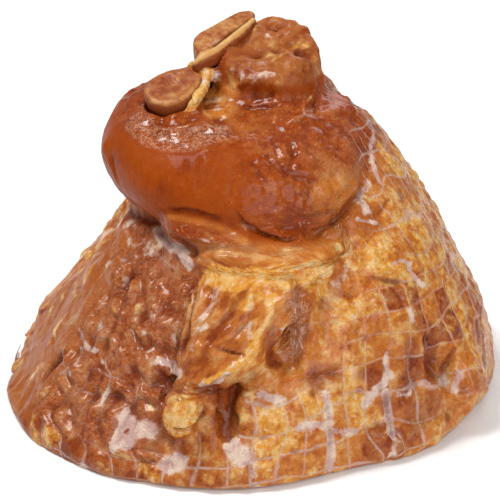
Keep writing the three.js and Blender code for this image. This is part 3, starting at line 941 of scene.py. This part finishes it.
def shape_meat(clay, sizes):
    """Shapes the big folds on a coarse mesh, then the creases on a fine one."""
    clay.remesh(sizes.meat_grain * 1.4)
    clay.relax(8)
    swell_the_flanks(clay)
    clay.settle()
    fold_the_collar(clay)
    clay.settle()
    fold_the_shoulder(clay)
    cut_the_flap(clay)
    gouge_the_right(clay)
    pit_the_left(clay)
    tear_the_knuckle(clay)
    clay.remesh(sizes.meat_grain)
    clay.relax(2)
    crease_the_flap(clay)
    wrinkle_the_collar(clay)
    clay.settle()
    crease_the_collar(clay)
    dish_the_joint(clay)


# ---- Colours of the meat -------------------------------------------------------------------------


def hollow_layer(clay, layer, reach, depth):
    """Paints how far each corner lies below the shape smoothed over a reach, against a depth in mm: a mask
    of painted shade.
    """
    edge = np.linalg.norm(clay.at[clay.edges[:, 0]] - clay.at[clay.edges[:, 1]], axis=1).mean()
    soft = clay.at.copy()
    for _ in range(round((reach * MM / edge) ** 2)):
        soft = clay.spread(soft)
    below = ((soft - clay.at) * clay.out).sum(1)
    clay.paint[layer] = np.clip(0.5 + below / (depth * MM), 0, 1)


def paint_ground(clay):
    """The broad colours: amber and golden fat on the right, lean on the left, rind on the collar."""
    paint = clay.paint
    for layer in ("light", "dark", "pale", "bone", "wet", "film"):
        paint[layer] = np.zeros(len(clay.at))
    right = clay.zone((280, 360), (0, 96), (18, 8))
    paint["amber"] = np.clip(0.15 + 0.85 * right + 0.5 * clay.zone((14, 165), (0, 92), (20, 8)), 0, 1)
    paint["amber"] = np.maximum(paint["amber"], 0.5 * clay.zone((252, 280), (0, 76), (4, 6)))
    paint["gold"] = 0.1 + 0.32 * right + 0.2 * clay.zone((20, 160), (0, 90), (20, 8))
    paint["gold"] -= 0.3 * clay.zone((300, 324), (0, 30), (4, 6))
    paint["tan"] = 0.75 * clay.zone((176, 214), (8, 66), (12, 8))
    paint["tan"] += 0.4 * clay.zone((334, 352), (20, 110), (6, 8))

    # The collar ends on the right, along an edge that leans back as it rises.
    turn = np.where(clay.angle < 60, clay.angle + 360, clay.angle)
    past = smooth(turn - 2.2 * np.clip(clay.height - 92, 0, 20), 316, 326) * smooth(turn, 405, 395)
    collar = smooth(clay.height, 74, 86) * (1 - past)
    paint["rind"] = collar * (1 - 0.35 * clay.zone((0, 360), (117, 150), (1, 3)))
    paint["rind"] *= 1 - 0.4 * clay.zone((298, 330), (84, 112), (12, 6))
    paint["gold"] -= 0.6 * collar
    paint["rough"] = 1 - 0.85 * clay.zone((90, 256), (72, 108), (32, 5))
    paint["rough"] += 0.7 * clay.zone((238, 266), (72, 86), (6, 2))
    paint["rough"] -= 0.5 * clay.zone((160, 204), (0, 72), (10, 8))
    paint["pale"] -= 0.5 * collar
    paint["gold"] -= 0.25 * clay.zone((206, 250), (14, 72), (8, 6))
    # The film of pale ripples is stronger on faces that look up, where it stands in for glints: painted
    # highlight.
    juice_and_glint_zone = clay.zone((206, 252), (12, 76), (8, 6)) + 0.4 * clay.zone((280, 330), (84, 120), (30, 4))
    paint["film"] = (0.6 + 0.4 * smooth(clay.out[:, 2], 0.1, 0.6)) * juice_and_glint_zone


def paint_collar(clay):
    """Dark wrinkles and creases, painted as shade, pale spots, and the wet ripples on the shoulder of the
    rind, with painted highlights in their pale lines.
    """
    # Dark along the cut wrinkles: painted shade in them.
    clay.marks("dark", (
        ([(276, 111), (282, 105), (290, 102), (295, 101)], 4, 0.85),
        ([(292, 112), (291, 109), (285, 103)], 4, 0.75),
        ([(271, 106), (273, 104), (276, 101)], 3, 0.8),
        ([(287, 97), (289, 101), (293, 99), (289, 91)], 2, 0.7),
        ([(284, 112), (283, 106), (286, 100), (291, 96)], 3, 0.85),
        ([(264, 109), (269, 103), (272, 98)], 2, 0.6),
        ([(292, 92), (294, 88), (296, 84)], 2, 0.6),
        ([(289, 82), (296, 82.5), (303, 84)], 2, 0.7),
    ))
    clay.mark("rind", [(298, 108), (304, 100), (308, 92)], 9, -0.25)
    clay.marks("pale", (
        ([(352, 107), (348, 104), (338, 101), (331, 96), (328, 92)], 2.6, 0.8),
        ([(322, 93), (316, 90), (315, 86)], 4, 0.65),
    ))
    # Pale film lines in the wet ripples stand in for their glints: painted highlight.
    ripples = [(-42, -20), (-36, -30), (-28, -36), (-20, -37), (-12, -34)]
    for layer, amount in (("wet", 0.8), ("film", 1.3)):
        clay.mark(layer, ripples, 8, amount, top=True, edge=0.6)
    clay.mark("dark", [(-36, -30), (-31, -33), (-25, -33), (-20, -32)], 1.6, 0.7, top=True)
    # Dark along the two creases under the roll: painted shade under the overhang.
    for line in (
        [(238, 90), (242, 90.5), (247, 90.8), (252, 90.3), (257, 89.3), (261, 88.4)],
        [(264, 92), (266, 89.5), (269, 86.8), (273, 83.8), (277, 82.3), (282, 81.4), (289, 81.4)],
    ):
        clay.mark("dark", line, 1.7, 1.2, taper=0.3)


def paint_knuckle(clay):
    """The joint's cartilage and its pale lip, which is a painted highlight, the lean below it with painted
    shade in the seam at its foot, and the fat strand.
    """
    right = clay.at[:, 0] / MM
    bone = clay.zone((0, 360), (125.5, 150), (1, 2)) * smooth(right, -10, -8)
    clay.paint["bone"] = bone * smooth(clay.out[:, 2], -0.1, 0.4)
    clay.paint["rough"] *= 1 - 0.75 * clay.zone((0, 360), (122, 150), (1, 3)) * smooth(right, -12, -8)
    strand = [(-16.8, 1), (-16.9, -4.5), (-17.6, -10), (-19.6, -15), (-22.6, -19)]
    beside_strand = [(-13, -4), (-13, -12), (-13, -19)]
    thin_rind = [(291, 96), (300, 99), (310, 94)]
    clay.mark("rind", [(-5, -9), (5, -11), (16, -8), (22, 2)], 6, -1, top=True, edge=0.6)
    clay.mark("gold", CREST[3:], 3.2, 0.5, top=True)
    clay.marks("light", (
        (CREST[3:], 2.6, 0.2),
        (strand, 3, 0.8),
    ), top=True)
    # Pale on the left of the crest stands in for the lip's white highlights: painted highlight.
    clay.marks("pale", (
        (CREST[:4], 3, 0.5),
        (strand[:3], 2.6, 0.5),
        ([(-13, -2), (-13.5, -10), (-12, -16)], 4, 0.55),
    ), top=True)
    clay.marks("dark", (
        (LOBE, 4.5, 0.6),
        (STRIP, 2, 0.5),
        ([(6, 18), (9, 17), (12, 15)], 3.6, 0.6),
        ([(-13, -23), (-11, -27), (-12, -31)], 3, 0.8),
    ), top=True)
    clay.spots("dark", [(20, 1), (22, 1)], 4, 0.6, top=True)
    clay.spots("pale", [(7, 11), (11, 10)], 3.4, 0.5, top=True)
    # The pale lip below the crest: painted highlight.
    clay.mark("pale", [(-8, -7, 129), (-2, -10, 128), (3, -12.5, 128), (8, -13.5, 129.5)], 4, 0.5)
    clay.marks("amber", (
        ([(9, -12, 131), (13, -11, 132), (17, -9, 132)], 4, 0.9),
        (thin_rind, 18, 0.4),
        ([(228, 122), (236, 118), (250, 115), (264, 114)], 7, 0.9),
    ))
    # Dark in the seam at the joint's foot: painted shade.
    clay.marks("dark", (
        ([(255, 121), (274, 121), (292, 121), (304, 120.5)], 5, 0.4),
        ([(255, 117.5), (266, 117), (278, 117.5), (292, 118)], 1.8, 0.8),
    ))
    clay.marks("rind", (
        (thin_rind, 18, -0.3),
        ([(228, 122), (236, 118), (250, 115), (264, 114), (280, 114)], 7, -0.5),
    ))
    clay.mark("film", thin_rind, 16, -0.4, edge=0.6)
    clay.mark("gold", [(342, 121.5), (334, 120), (321, 118), (307, 116.5)], 1.6, 0.4)
    clay.marks("rind", (
        (strand, 4, -1),
        (beside_strand, 7, -0.7),
    ), top=True, edge=0.6)
    clay.mark("gold", strand, 3.8, 1.5, top=True, edge=0.4)
    clay.spots("gold", [(-21.4, 2.5), (-21, 5)], 4.5, 1.0, top=True, edge=0.6)
    clay.spots("pale", [(-21.4, 2)], 3, 0.7, top=True)
    clay.mark("amber", beside_strand, 7, 1, top=True, edge=0.6)
    clay.spots("amber", [(-7, -28), (-10, -22), (0, -30)], 4, 0.8, top=True, edge=0.6)
    clay.spots("dark", [(-9, -33), (-12, -23), (-3, -22)], 3.5, 0.5, top=True, edge=0.6)


def paint_shoulder(clay):
    """Silver skin on the left of the fold, gold where the fold catches the smoke, a painted highlight
    streak on the fold, and painted shade in the pocket below it and under the collar.
    """
    clay.mark("pale", [(220, 74.5), (230, 72.5), (242, 73.5), (248, 71), (251, 68)], 3.8, 1.1, taper=0.1,
              edge=0.8)
    # This broad pale patch is partly silver skin and partly a painted sheen.
    clay.mark("pale", [(201, 71), (219, 67), (227, 67), (232, 70)], 8, 0.4)
    # Pale streak along the fold's top: painted highlight.
    clay.mark("pale", [(247, 81.5), (252, 81.5), (257, 80)], 1.6, 0.5, taper=0.2)
    # Dark in the pocket and in the band under the collar's edge: painted shade.
    clay.marks("dark", (
        ([(241, 78), (246, 76), (250, 75)], 4, 0.7),
        ([(246, 85), (254, 83), (262, 84)], 2, 0.5),
    ))
    clay.mark("rind", [(240, 84), (250, 83), (262, 81), (272, 79), (282, 77), (296, 77)], 7, 0.1, edge=0.8)
    clay.mark("amber", [(242, 84), (250, 82), (262, 80), (276, 78), (290, 77)], 7, 0.5, edge=0.8)
    clay.mark("gold", [(250, 84), (262, 81), (276, 79)], 6, -0.3, edge=0.6)
    clay.mark("film", [(240, 84), (250, 82), (262, 80), (276, 78), (290, 77)], 6, 0.5, edge=0.6)
    edge_of_rind = [(240, 87), (246, 87.5), (253, 87), (260, 85), (268, 82)]
    clay.mark("rind", edge_of_rind, 4, -0.5)
    clay.mark("amber", edge_of_rind, 4, 0.9)


def paint_flap(clay):
    """Gold along the flap's ridges, lean and pale fibres between them, and the hollows below, painted dark
    as stain and shade. The knob and the pit get a painted highlight, and paler paint lifts the pit's shaded
    side as painted light.
    """
    clay.mark("gold", [(259, 69.5), (266, 69.5), (274, 71), (283, 71.5), (291, 71.5)], 7, 1.0, edge=0.7)
    clay.marks("gold", (
        ([(276, 66), (275, 61), (273, 57), (272, 51), (270, 46), (266, 43), (260, 38)], 5, 0.9),
        ([(255, 69), (253.5, 65), (253.5, 60)], 3, 0.7),
        ([(288, 66), (284, 68)], 5, 0.8),
    ))
    clay.marks("light", (
        ([(275, 64), (275, 60), (272.5, 56)], 3.6, 0.7),
        ([(271, 49), (269, 46), (263, 40)], 2.6, 0.5),
    ))
    clay.spots("light", [(267, 71), (262, 69.5), (279, 70), (285, 69), (273, 70)], 5, 0.7)
    clay.marks("pale", (
        ([(257, 57), (259, 62), (260, 66)], 3.6, 0.55),
        ([(255, 47), (256, 52), (258, 55)], 3, 0.5),
        ([(271, 62), (270, 58), (270, 53)], 3, 0.4),
    ))
    # Dark along the flap's grooves, its slit and the crease at its left edge: painted shade in them.
    clay.marks("dark", (
        ([(259, 48), (261, 52), (263, 56), (265, 60), (266, 63)], 3.6, 0.75),
        ([(267, 55), (265, 52), (261, 50)], 2, 0.6),
        ([(253, 40), (255, 43), (259, 45)], 3.4, 0.6),
        (FLAP_SLIT, 1.4, 1.0),
        ([(252, 66), (253, 61), (253, 52), (252, 45), (253, 40)], 1.6, 0.8),
    ))
    clay.mark("pale", [(259, 37), (262, 38.5), (265, 42)], 1.9, 1.3, edge=0.6)
    clay.spots("gold", [(254.5, 31), (255, 28)], 10, 1.1, edge=0.6)
    # Pale gold spots on the knob, one where its highlight falls: painted highlight.
    clay.spots("light", [(257.5, 30.5), (253, 33), (255, 28)], 5, 0.8)
    for layer, amount in (("gold", -1), ("light", -1), ("amber", -0.8)):
        clay.mark(layer, [(276, 54), (275.5, 48), (276, 42)], 4.4, amount, edge=0.6)
        clay.mark(layer, [(283, 64), (282, 54), (280.5, 43)], 8, amount * 0.6, edge=0.6)
        clay.mark(layer, [(262, 37), (264, 33), (263.5, 28), (263, 23)], 5.5, amount, edge=0.8)
    # Dark in the pit and the cleft: painted shade.
    clay.marks("dark", (
        ([(276, 50), (275, 46), (276, 42)], 3.6, 0.9),
        ([(261, 36), (263, 34), (263.5, 29)], 3, 0.9),
    ))
    clay.mark("gold", [(270, 39), (270, 31), (268, 25)], 5, 0.4)
    # The first pale line is the pit's highlight and the second lifts its shaded side: painted highlight and
    # painted light. The third is raw fat.
    clay.marks("pale", (
        ([(278, 55), (281, 52.5), (283, 52)], 1.2, 0.7),
        ([(284, 62), (283, 54), (282, 46)], 4, 0.35),
        ([(272.5, 33), (275, 31.5), (277, 31)], 3, 1.0),
    ))
    # Tan on the pit's side lifts it out of its shade: painted light.
    clay.mark("tan", [(283, 64), (283, 54), (281.5, 45)], 7, 0.8, edge=0.5)
    wet_side = [(283, 63), (283, 54), (281.5, 46)]
    clay.mark("film", wet_side, 8, 0.8, edge=0.6)
    clay.mark("wet", wet_side, 7, 0.5, edge=0.6)


def paint_right(clay):
    """Groove and cracks painted dark as stain and shade, raw fat that the net squeezed out, and cells of
    lean meat.
    """
    # Dark in the groove and cracks: stain and painted shade.
    clay.marks("dark", (
        (GROOVE, 6, 0.95),
        (UPPER_CRACK, 2, 0.7),
        (LOWER_CRACK, 2, 0.7),
        (HIGH_CRACK, 1.8, 0.7),
        (GROOVE_BRANCH, 2.4, 1.0),
    ))
    clay.marks("gold", (
        ([(312, 44), (312, 34), (314, 22)], 12, -0.9),
        ([(307, 65), (308, 62), (309, 58)], 8, -0.7),
    ))
    clay.spots("gold", [(319, 89), (332, 78), (332, 67), (330, 84), (329, 74), (334, 55), (326, 52),
               (338, 41), (306, 78), (301, 76), (310, 75), (294, 74), (304, 72), (294, 58), (316, 68),
               (322, 53)], 5.5, 0.5, edge=0.8)
    clay.marks("pale", (
        ([(304, 60), (305, 56), (302, 54)], 7, 0.3),
        ([(310, 84), (313, 83), (316, 82)], 2, 0.9),
        ([(315, 69), (318, 69), (321, 67)], 1.8, 0.9),
        ([(314, 54), (315, 49)], 1.6, 0.9),
    ))
    # Dark in the small pits and hollows: painted shade.
    clay.spots("dark", [(323.5, 19.5), (287, 36), (285, 32), (320, 9)], 4, 0.8)
    clay.mark("dark", [(320.5, 37), (320, 31), (318, 26)], 4.6, 1.0, edge=0.8)
    lean_cells = [(299, 7), (306, 8), (309, 23), (311, 13), (316, 18), (287, 37)]
    for layer in ("amber", "gold"):
        clay.spots(layer, lean_cells, 10, -0.75, edge=0.8)
    clay.mark("dark", [(313, 41), (313, 33), (309.5, 28)], 7, 0.85)
    clay.spots("dark", [(291, 38), (286, 38), (298, 36)], 7, 0.7)
    clay.spots("pale", [(323.5, 24), (325, 18), (321, 22)], 5, 0.62)
    clay.marks("pale", (
        ([(320, 65.5), (320, 63), (322, 59)], 2.2, 1.0),
        ([(298, 24), (300, 27), (303, 30), (305, 33)], 3.6, 0.95),
        ([(306, 41), (305, 38), (305, 34)], 2, 0.8),
        ([(312, 27), (310, 24), (307, 25)], 2, 0.7),
        ([(281, 21), (284, 21.5), (287, 20), (291, 16.5), (295, 16)], 3, 0.85),
        ([(324, 26), (323, 23), (322, 20)], 2.8, 0.9),
        ([(296, 66), (300, 70), (304, 76)], 5, 0.45),
    ))
    clay.spots("light", [(300, 18), (296, 24), (310, 45), (331, 22), (328, 12)], 6, 0.6)


def paint_left(clay):
    """Pits and hollows painted dark as stain and shade, pale veins and a little fat on the torn muscle."""
    # Dark in the pits and hollows: stain and painted shade.
    clay.marks("dark", (
        (LOW_PIT, 4, 0.95),
        (HIGH_PIT, 3.6, 0.7),
        ([(206, 59), (210, 63)], 1.8, 0.9),
    ))
    clay.spots("dark", HOLLOWS, 6, 0.6)
    clay.spots("dark", [(211, 67)], 3, 0.7)
    clay.marks("pale", (
        ([(213, 36), (219, 34), (225, 35)], 2.2, 1.0),
        ([(217, 32), (221, 30), (221, 26)], 1.8, 0.8),
        ([(246, 39.5), (250, 38.5), (252, 37)], 3.4, 1.0),
        ([(204, 56), (213, 60.5)], 2.2, 0.7),
        ([(239, 47), (243, 43), (242, 41)], 1.4, 0.7),
        (LEFT_SEAM, 1.6, 0.7),
    ))
    clay.spots("pale", [(220, 55), (216, 46), (222, 41), (240, 51), (248, 47), (233, 38), (217, 24)], 4,
               0.5)
    clay.mark("gold", [(196, 30), (200, 22), (204, 12)], 9, 0.5)
    clay.spots("gold", [(242, 24), (247, 25), (237, 19), (229, 70), (225, 48), (232, 52)], 5, 0.55)
    clay.spots("light", [(184, 38), (181, 30), (189, 22), (192, 18), (196, 40), (199, 28), (203, 33)], 3,
               0.5)


def paint_base(clay):
    """Raw fat that the net squeezed out between its lines, along the foot of the hock."""
    clay.spots("pale", [(241.5, 19), (244, 17), (247, 19), (243, 14), (252.5, 8), (255, 10.5), (266.5, 16),
               (268.5, 13)], 5.5, 1.1, edge=0.8)
    clay.spots("pale", [(277, 31), (284, 20.5), (234, 2), (304, 13)], 4.5, 0.7)
    clay.marks("pale", (
        ([(240.5, 22), (240.5, 11)], 2.6, 1.0),
        ([(288, 31), (288.5, 19), (288, 4)], 2.6, 1.1),
        ([(304, 26), (304, 14), (303, 3)], 3.2, 1.1),
    ), edge=0.8)
    clay.mark("pale", [(270.5, 14), (271, 2)], 3.4, 0.75)
    clay.spots("light", [(246, 17), (250, 9), (262, 5), (275, 12), (283, 28), (294, 33)], 7, 0.4)


def paint_unseen(clay):
    """Pale fat, dark lean and seams on the back, scattered as evenly as on the front."""
    places = np.random.default_rng(7)
    for _ in range(26):
        angle, height = places.uniform(8, 178), places.uniform(5, 84)
        lean = places.uniform(-25, 25)
        line = [(angle, height), (angle + lean * 0.2, height - 4), (angle + lean * 0.5, height - 8)]
        layer, width = ("pale", 4) if places.random() < 0.45 else ("dark", 6)
        if height > 14:
            clay.mark(layer, line, places.uniform(0.5, 1) * width, 0.8)


def paint_meat(clay, sizes):
    """Paints the meat's layers from the broad colours to the stains in its hollows."""
    paint_ground(clay)
    comb_the_grain(clay)
    press_net(clay, sizes)
    roughen(clay)
    clay.paint["gold"] = np.clip(clay.paint["gold"] + 0.8 * clay.paint.pop("cell"), -0.6, 1)
    paint_collar(clay)
    paint_knuckle(clay)
    paint_shoulder(clay)
    paint_flap(clay)
    paint_right(clay)
    paint_left(clay)
    paint_base(clay)
    paint_unseen(clay)
    # Painted shade: darker where the meat lies below its smoothed shape, in hollows and in the wider
    # valleys between lumps.
    hollow_layer(clay, "hollow", 3.6, 2.4)
    hollow_layer(clay, "valley_shade", 8, 5)
    clay.paint["valley_shade"] -= clay.paint["rind"] * (1 - clay.paint["rough"])
    clay.paint["valley_shade"] -= 0.4 * np.clip(clay.paint["pale"], 0, 1)

    # Less painted shade on the ledge under the collar and on the wet side of the pit, and less gold in the
    # pit.
    ledge = clay.zone((240, 292), (65, 84), (6, 3))
    clay.paint["valley_shade"] -= 0.6 * ledge
    clay.paint["hollow"] -= 0.5 * ledge
    pit = clay.zone((273, 287), (42, 63), (2, 3))
    for layer, amount in (("valley_shade", 1), ("hollow", 1), ("gold", 0.5)):
        clay.paint[layer] -= amount * pit


# ---- Bone ends -----------------------------------------------------------------------------------


def blank_paint(clay):
    """Empty layers for a bone."""
    for layer in ("marrow", "light", "gold", "pale"):
        clay.paint[layer] = np.zeros(len(clay.at))


# The heel bone's face runs out to a rounded corner towards the joint.
HEEL_CORNER = [(-27, -4, 123.5), (-22.5, 0.5, 124.6), (-19.6, 3.4, 125.2)]
HEEL_RADII = (4, 2.6, 1.3)


def shape_heel_bone(clay):
    """The heel bone's face dips to a blotched marrow, inside a paler rim. Its sides are painted dark, most
    towards the bottom, as shade.
    """
    clay.relax(3)
    clay.lift([(-31, -11), (-27, -9)], 7, -0.8)
    clay.settle()
    clay.raise_by(0.3 + noise_at(clay.at, 6 * MM, 3, 2.0) * 0.3)
    clay.settle()
    blank_paint(clay)
    rim = [(-40, -10), (-38, -16), (-33, -19), (-27, -19), (-22, -15), (-19, -8), (-21, -1),
           (-28, 1), (-36, -3)]
    clay.mark("light", rim, 2.6, 0.5, top=True)
    clay.paint["marrow"] += 0.15 * smooth(clay.out[:, 2], 0.6, 0.9)
    clay.spots("marrow", [(-31, -7), (-25, -10), (-32, -14), (-28, -13), (-23, -6)], 4.2, 0.8, top=True)
    # The sides are painted darker, most towards the bottom where they sink into the slot: painted shade.
    side = smooth(clay.out[:, 2], 0.5, 0.1)
    clay.paint["marrow"] += 0.45 * side + 0.4 * side * smooth(clay.height, 121, 114)


# Half thickness of the bowed plate along its rim, and how far below it its wall is thickened, in mm.
PLATE_RADII = (0.9, 1.5, 1.8, 1.9, 1.9, 1.8, 1.5, 1.0)
PLATE_DROPS = (0, 1.6, 3.2)


def bowed_plate():
    """The rim of the thin plate of bone that bows out in front of the shin bone."""
    return [(-21.5, -1.5, 129.2), (-19, -0.8, 130.8), (-16, 0.4, 131.9), (-13, 2.2, 132.9),
            (-10, 4.4, 134.6), (-6, 6.4, 137.2), (-2, 11.6, 139.4), (1.5, 18.3, 141)]


def moved(points, right, back, up):
    """Points moved by some millimetres."""
    return [(x + right, y + back, z + up) for x, y, z in points]


def shape_shin_bone(clay):
    """The slab is tan, its sides painted darker towards the bottom as shade. Silver skin shows at the step,
    with painted shade in the slot beside it, and the bowed plate's bright edge is a painted highlight over
    a wall painted dark as shade.
    """
    clay.relax(3)
    side = smooth(clay.out[:, 2], 0.5, 0.1)
    clay.raise_by(0.4 * side + noise_at(clay.at, 6 * MM, 3, 1.0) * 0.25)
    clay.stroke([(4, 21.5, 139.5)], 4, 1.8)
    clay.settle()
    blank_paint(clay)
    # The sides are painted darker, most towards the bottom where they sink into the gap: painted shade.
    clay.paint["marrow"] += side * (0.25 + 0.6 * smooth(clay.height, 133, 126))
    clay.paint["light"] += 0.35 * smooth(clay.out[:, 2], 0.6, 0.9)
    front = moved(bowed_plate(), 0.6, -1.6, -3)
    edge = moved(bowed_plate(), 0, -0.4, 1.2)
    # The plate's wall below its edge is painted dark as shade, and the edge itself pale and gold as a
    # highlight.
    clay.mark("marrow", front, 3.4, 0.8, edge=0.8)
    clay.mark("marrow", edge, 2.1, -1, edge=0.5)
    clay.mark("light", edge, 2.3, 1.1, edge=0.6)
    clay.mark("gold", edge, 2, 0.62)
    clay.mark("pale", moved(bowed_plate(), -1.8, 2.6, 1.8), 2.2, 0.5)
    # Dark in the slot at the step: painted shade.
    clay.mark("marrow", moved(bowed_plate(), -1.4, 1.8, 1), 1.6, 0.5)


# ---- Operators -----------------------------------------------------------------------------------


class HOCK_OT_meat(bpy.types.Operator):
    """Shape the meat, fat, rind and joint, press the net into them, and colour them"""

    bl_idname = "hock.meat"
    bl_label = "Meat and rind"

    def execute(self, context):
        sizes, colours = context.scene.hock_sizes, context.scene.hock_colours
        clay = Clay(joined(node_copy("meat_and_rind", "meat"), top_of_knuckle()))
        shape_meat(clay, sizes)
        paint_meat(clay, sizes)
        clay.save_paint()
        finished(clay.piece, smoked_meat(colours), "smoked_meat", "meat_and_rind", "joint_bone")
        return {"FINISHED"}


class HOCK_OT_bones(bpy.types.Operator):
    """Shape and colour the two sawn bone ends"""

    bl_idname = "hock.bones"
    bl_label = "Bone ends"

    def execute(self, context):
        sizes, colours = context.scene.hock_sizes, context.scene.hock_colours
        corner = [cord(HEEL_CORNER, HEEL_RADII)]
        plate = []
        for drop in PLATE_DROPS:
            plate.append(cord(moved(bowed_plate(), 0, 0.15 * drop, -drop), PLATE_RADII))
        for node, extra, shape in (
            ("heel_bone", corner, shape_heel_bone),
            ("shin_bone", plate, shape_shin_bone),
        ):
            whole = joined(node_copy(node, node + "_end"), extra)
            clay = Clay(remeshed(whole, sizes.bone_grain))
            shape(clay)
            # Painted shade in the bones' hollows.
            hollow_layer(clay, "hollow", 1.6, 2.4)
            clay.save_paint()
            finished(clay.piece, sawn_bone(colours, "smoked_" + node), "sawn_bone", node)
        return {"FINISHED"}


FLOOR_SIZE = 8
WORLD_STRENGTH = 0.25
# Each soft light's name, place and size in metres, and power in watts.
LIGHTS = (
    ("key", (-0.5, 0.0, 1.25), 0.45, 15),
    ("front", (0.55, -1.2, 0.8), 1.1, 15.5),
    ("back", (0.4, 1.1, 0.8), 0.7, 5),
)
# The camera's lens in millimetres, its tilt in degrees, how far it stands from what it aims at, and
# that place's height as a share of the hock's.
LENS, CAMERA_TILT, CAMERA_DISTANCE, CAMERA_AIM = 126, 24, 0.7, 0.357


class HOCK_OT_stage(bpy.types.Operator):
    """Set the pale floor, the soft studio lights and the camera"""

    bl_idname = "hock.stage"
    bl_label = "Stage"

    def execute(self, context):
        scene = context.scene
        high = CAD_BOX[1][2]
        bpy.ops.mesh.primitive_plane_add(size=FLOOR_SIZE)
        floor = context.object
        floor.name = "floor"
        floor.data.materials.append(matt_paper())
        world = bpy.data.worlds.new("studio")
        scene.world = world
        world.use_nodes = True
        sky = world.node_tree.nodes["Background"].inputs
        sky["Color"].default_value = (1, 1, 1, 1)
        sky["Strength"].default_value = WORLD_STRENGTH
        for name, place, size, power in LIGHTS:
            light = bpy.data.lights.new(name, "AREA")
            light.size = size
            light.energy = power
            lamp = bpy.data.objects.new(name, light)
            scene.collection.objects.link(lamp)
            lamp.location = place
            aim = Vector((0, 0, high / 2)) - lamp.location
            lamp.rotation_euler = aim.to_track_quat("-Z", "Y").to_euler()
        lens = bpy.data.cameras.new("camera")
        lens.lens = LENS
        lens.sensor_width = 36
        camera = bpy.data.objects.new("camera", lens)
        scene.collection.objects.link(camera)
        tilt = math.radians(CAMERA_TILT)
        back = Vector((0, -math.cos(tilt), math.sin(tilt)))
        camera.location = Vector((0, 0, CAMERA_AIM * high)) + back * CAMERA_DISTANCE
        camera.rotation_euler = (-back).to_track_quat("-Z", "Y").to_euler()
        lens.clip_start = 0.02
        scene.camera = camera
        scene.view_settings.view_transform = "Standard"
        return {"FINISHED"}


class HOCK_PT_panel(bpy.types.Panel):
    """The hock's steps and settings"""

    bl_label = "Ham Hock"
    bl_idname = "HOCK_PT_panel"
    bl_space_type = "VIEW_3D"
    bl_region_type = "UI"
    bl_category = "Ham Hock"

    def draw(self, context):
        for step in STEPS:
            self.layout.operator(step.bl_idname)
        for group in (context.scene.hock_sizes, context.scene.hock_colours):
            for key in group.__annotations__:
                self.layout.prop(group, key)


STEPS = (HOCK_OT_meat, HOCK_OT_bones, HOCK_OT_stage)
CLASSES = (HockSizes, HockColours, *STEPS, HOCK_PT_panel)


def register():
    for each in CLASSES:
        bpy.utils.register_class(each)
    bpy.types.Scene.hock_sizes = bpy.props.PointerProperty(type=HockSizes)
    bpy.types.Scene.hock_colours = bpy.props.PointerProperty(type=HockColours)


def unregister():
    del bpy.types.Scene.hock_sizes
    del bpy.types.Scene.hock_colours
    for each in reversed(CLASSES):
        bpy.utils.unregister_class(each)


def main():
    register()
    bpy.ops.hock.meat()
    bpy.ops.hock.bones()
    bpy.ops.hock.stage()
    bpy.context.view_layer.update()


if __name__ == "__main__":
    main()
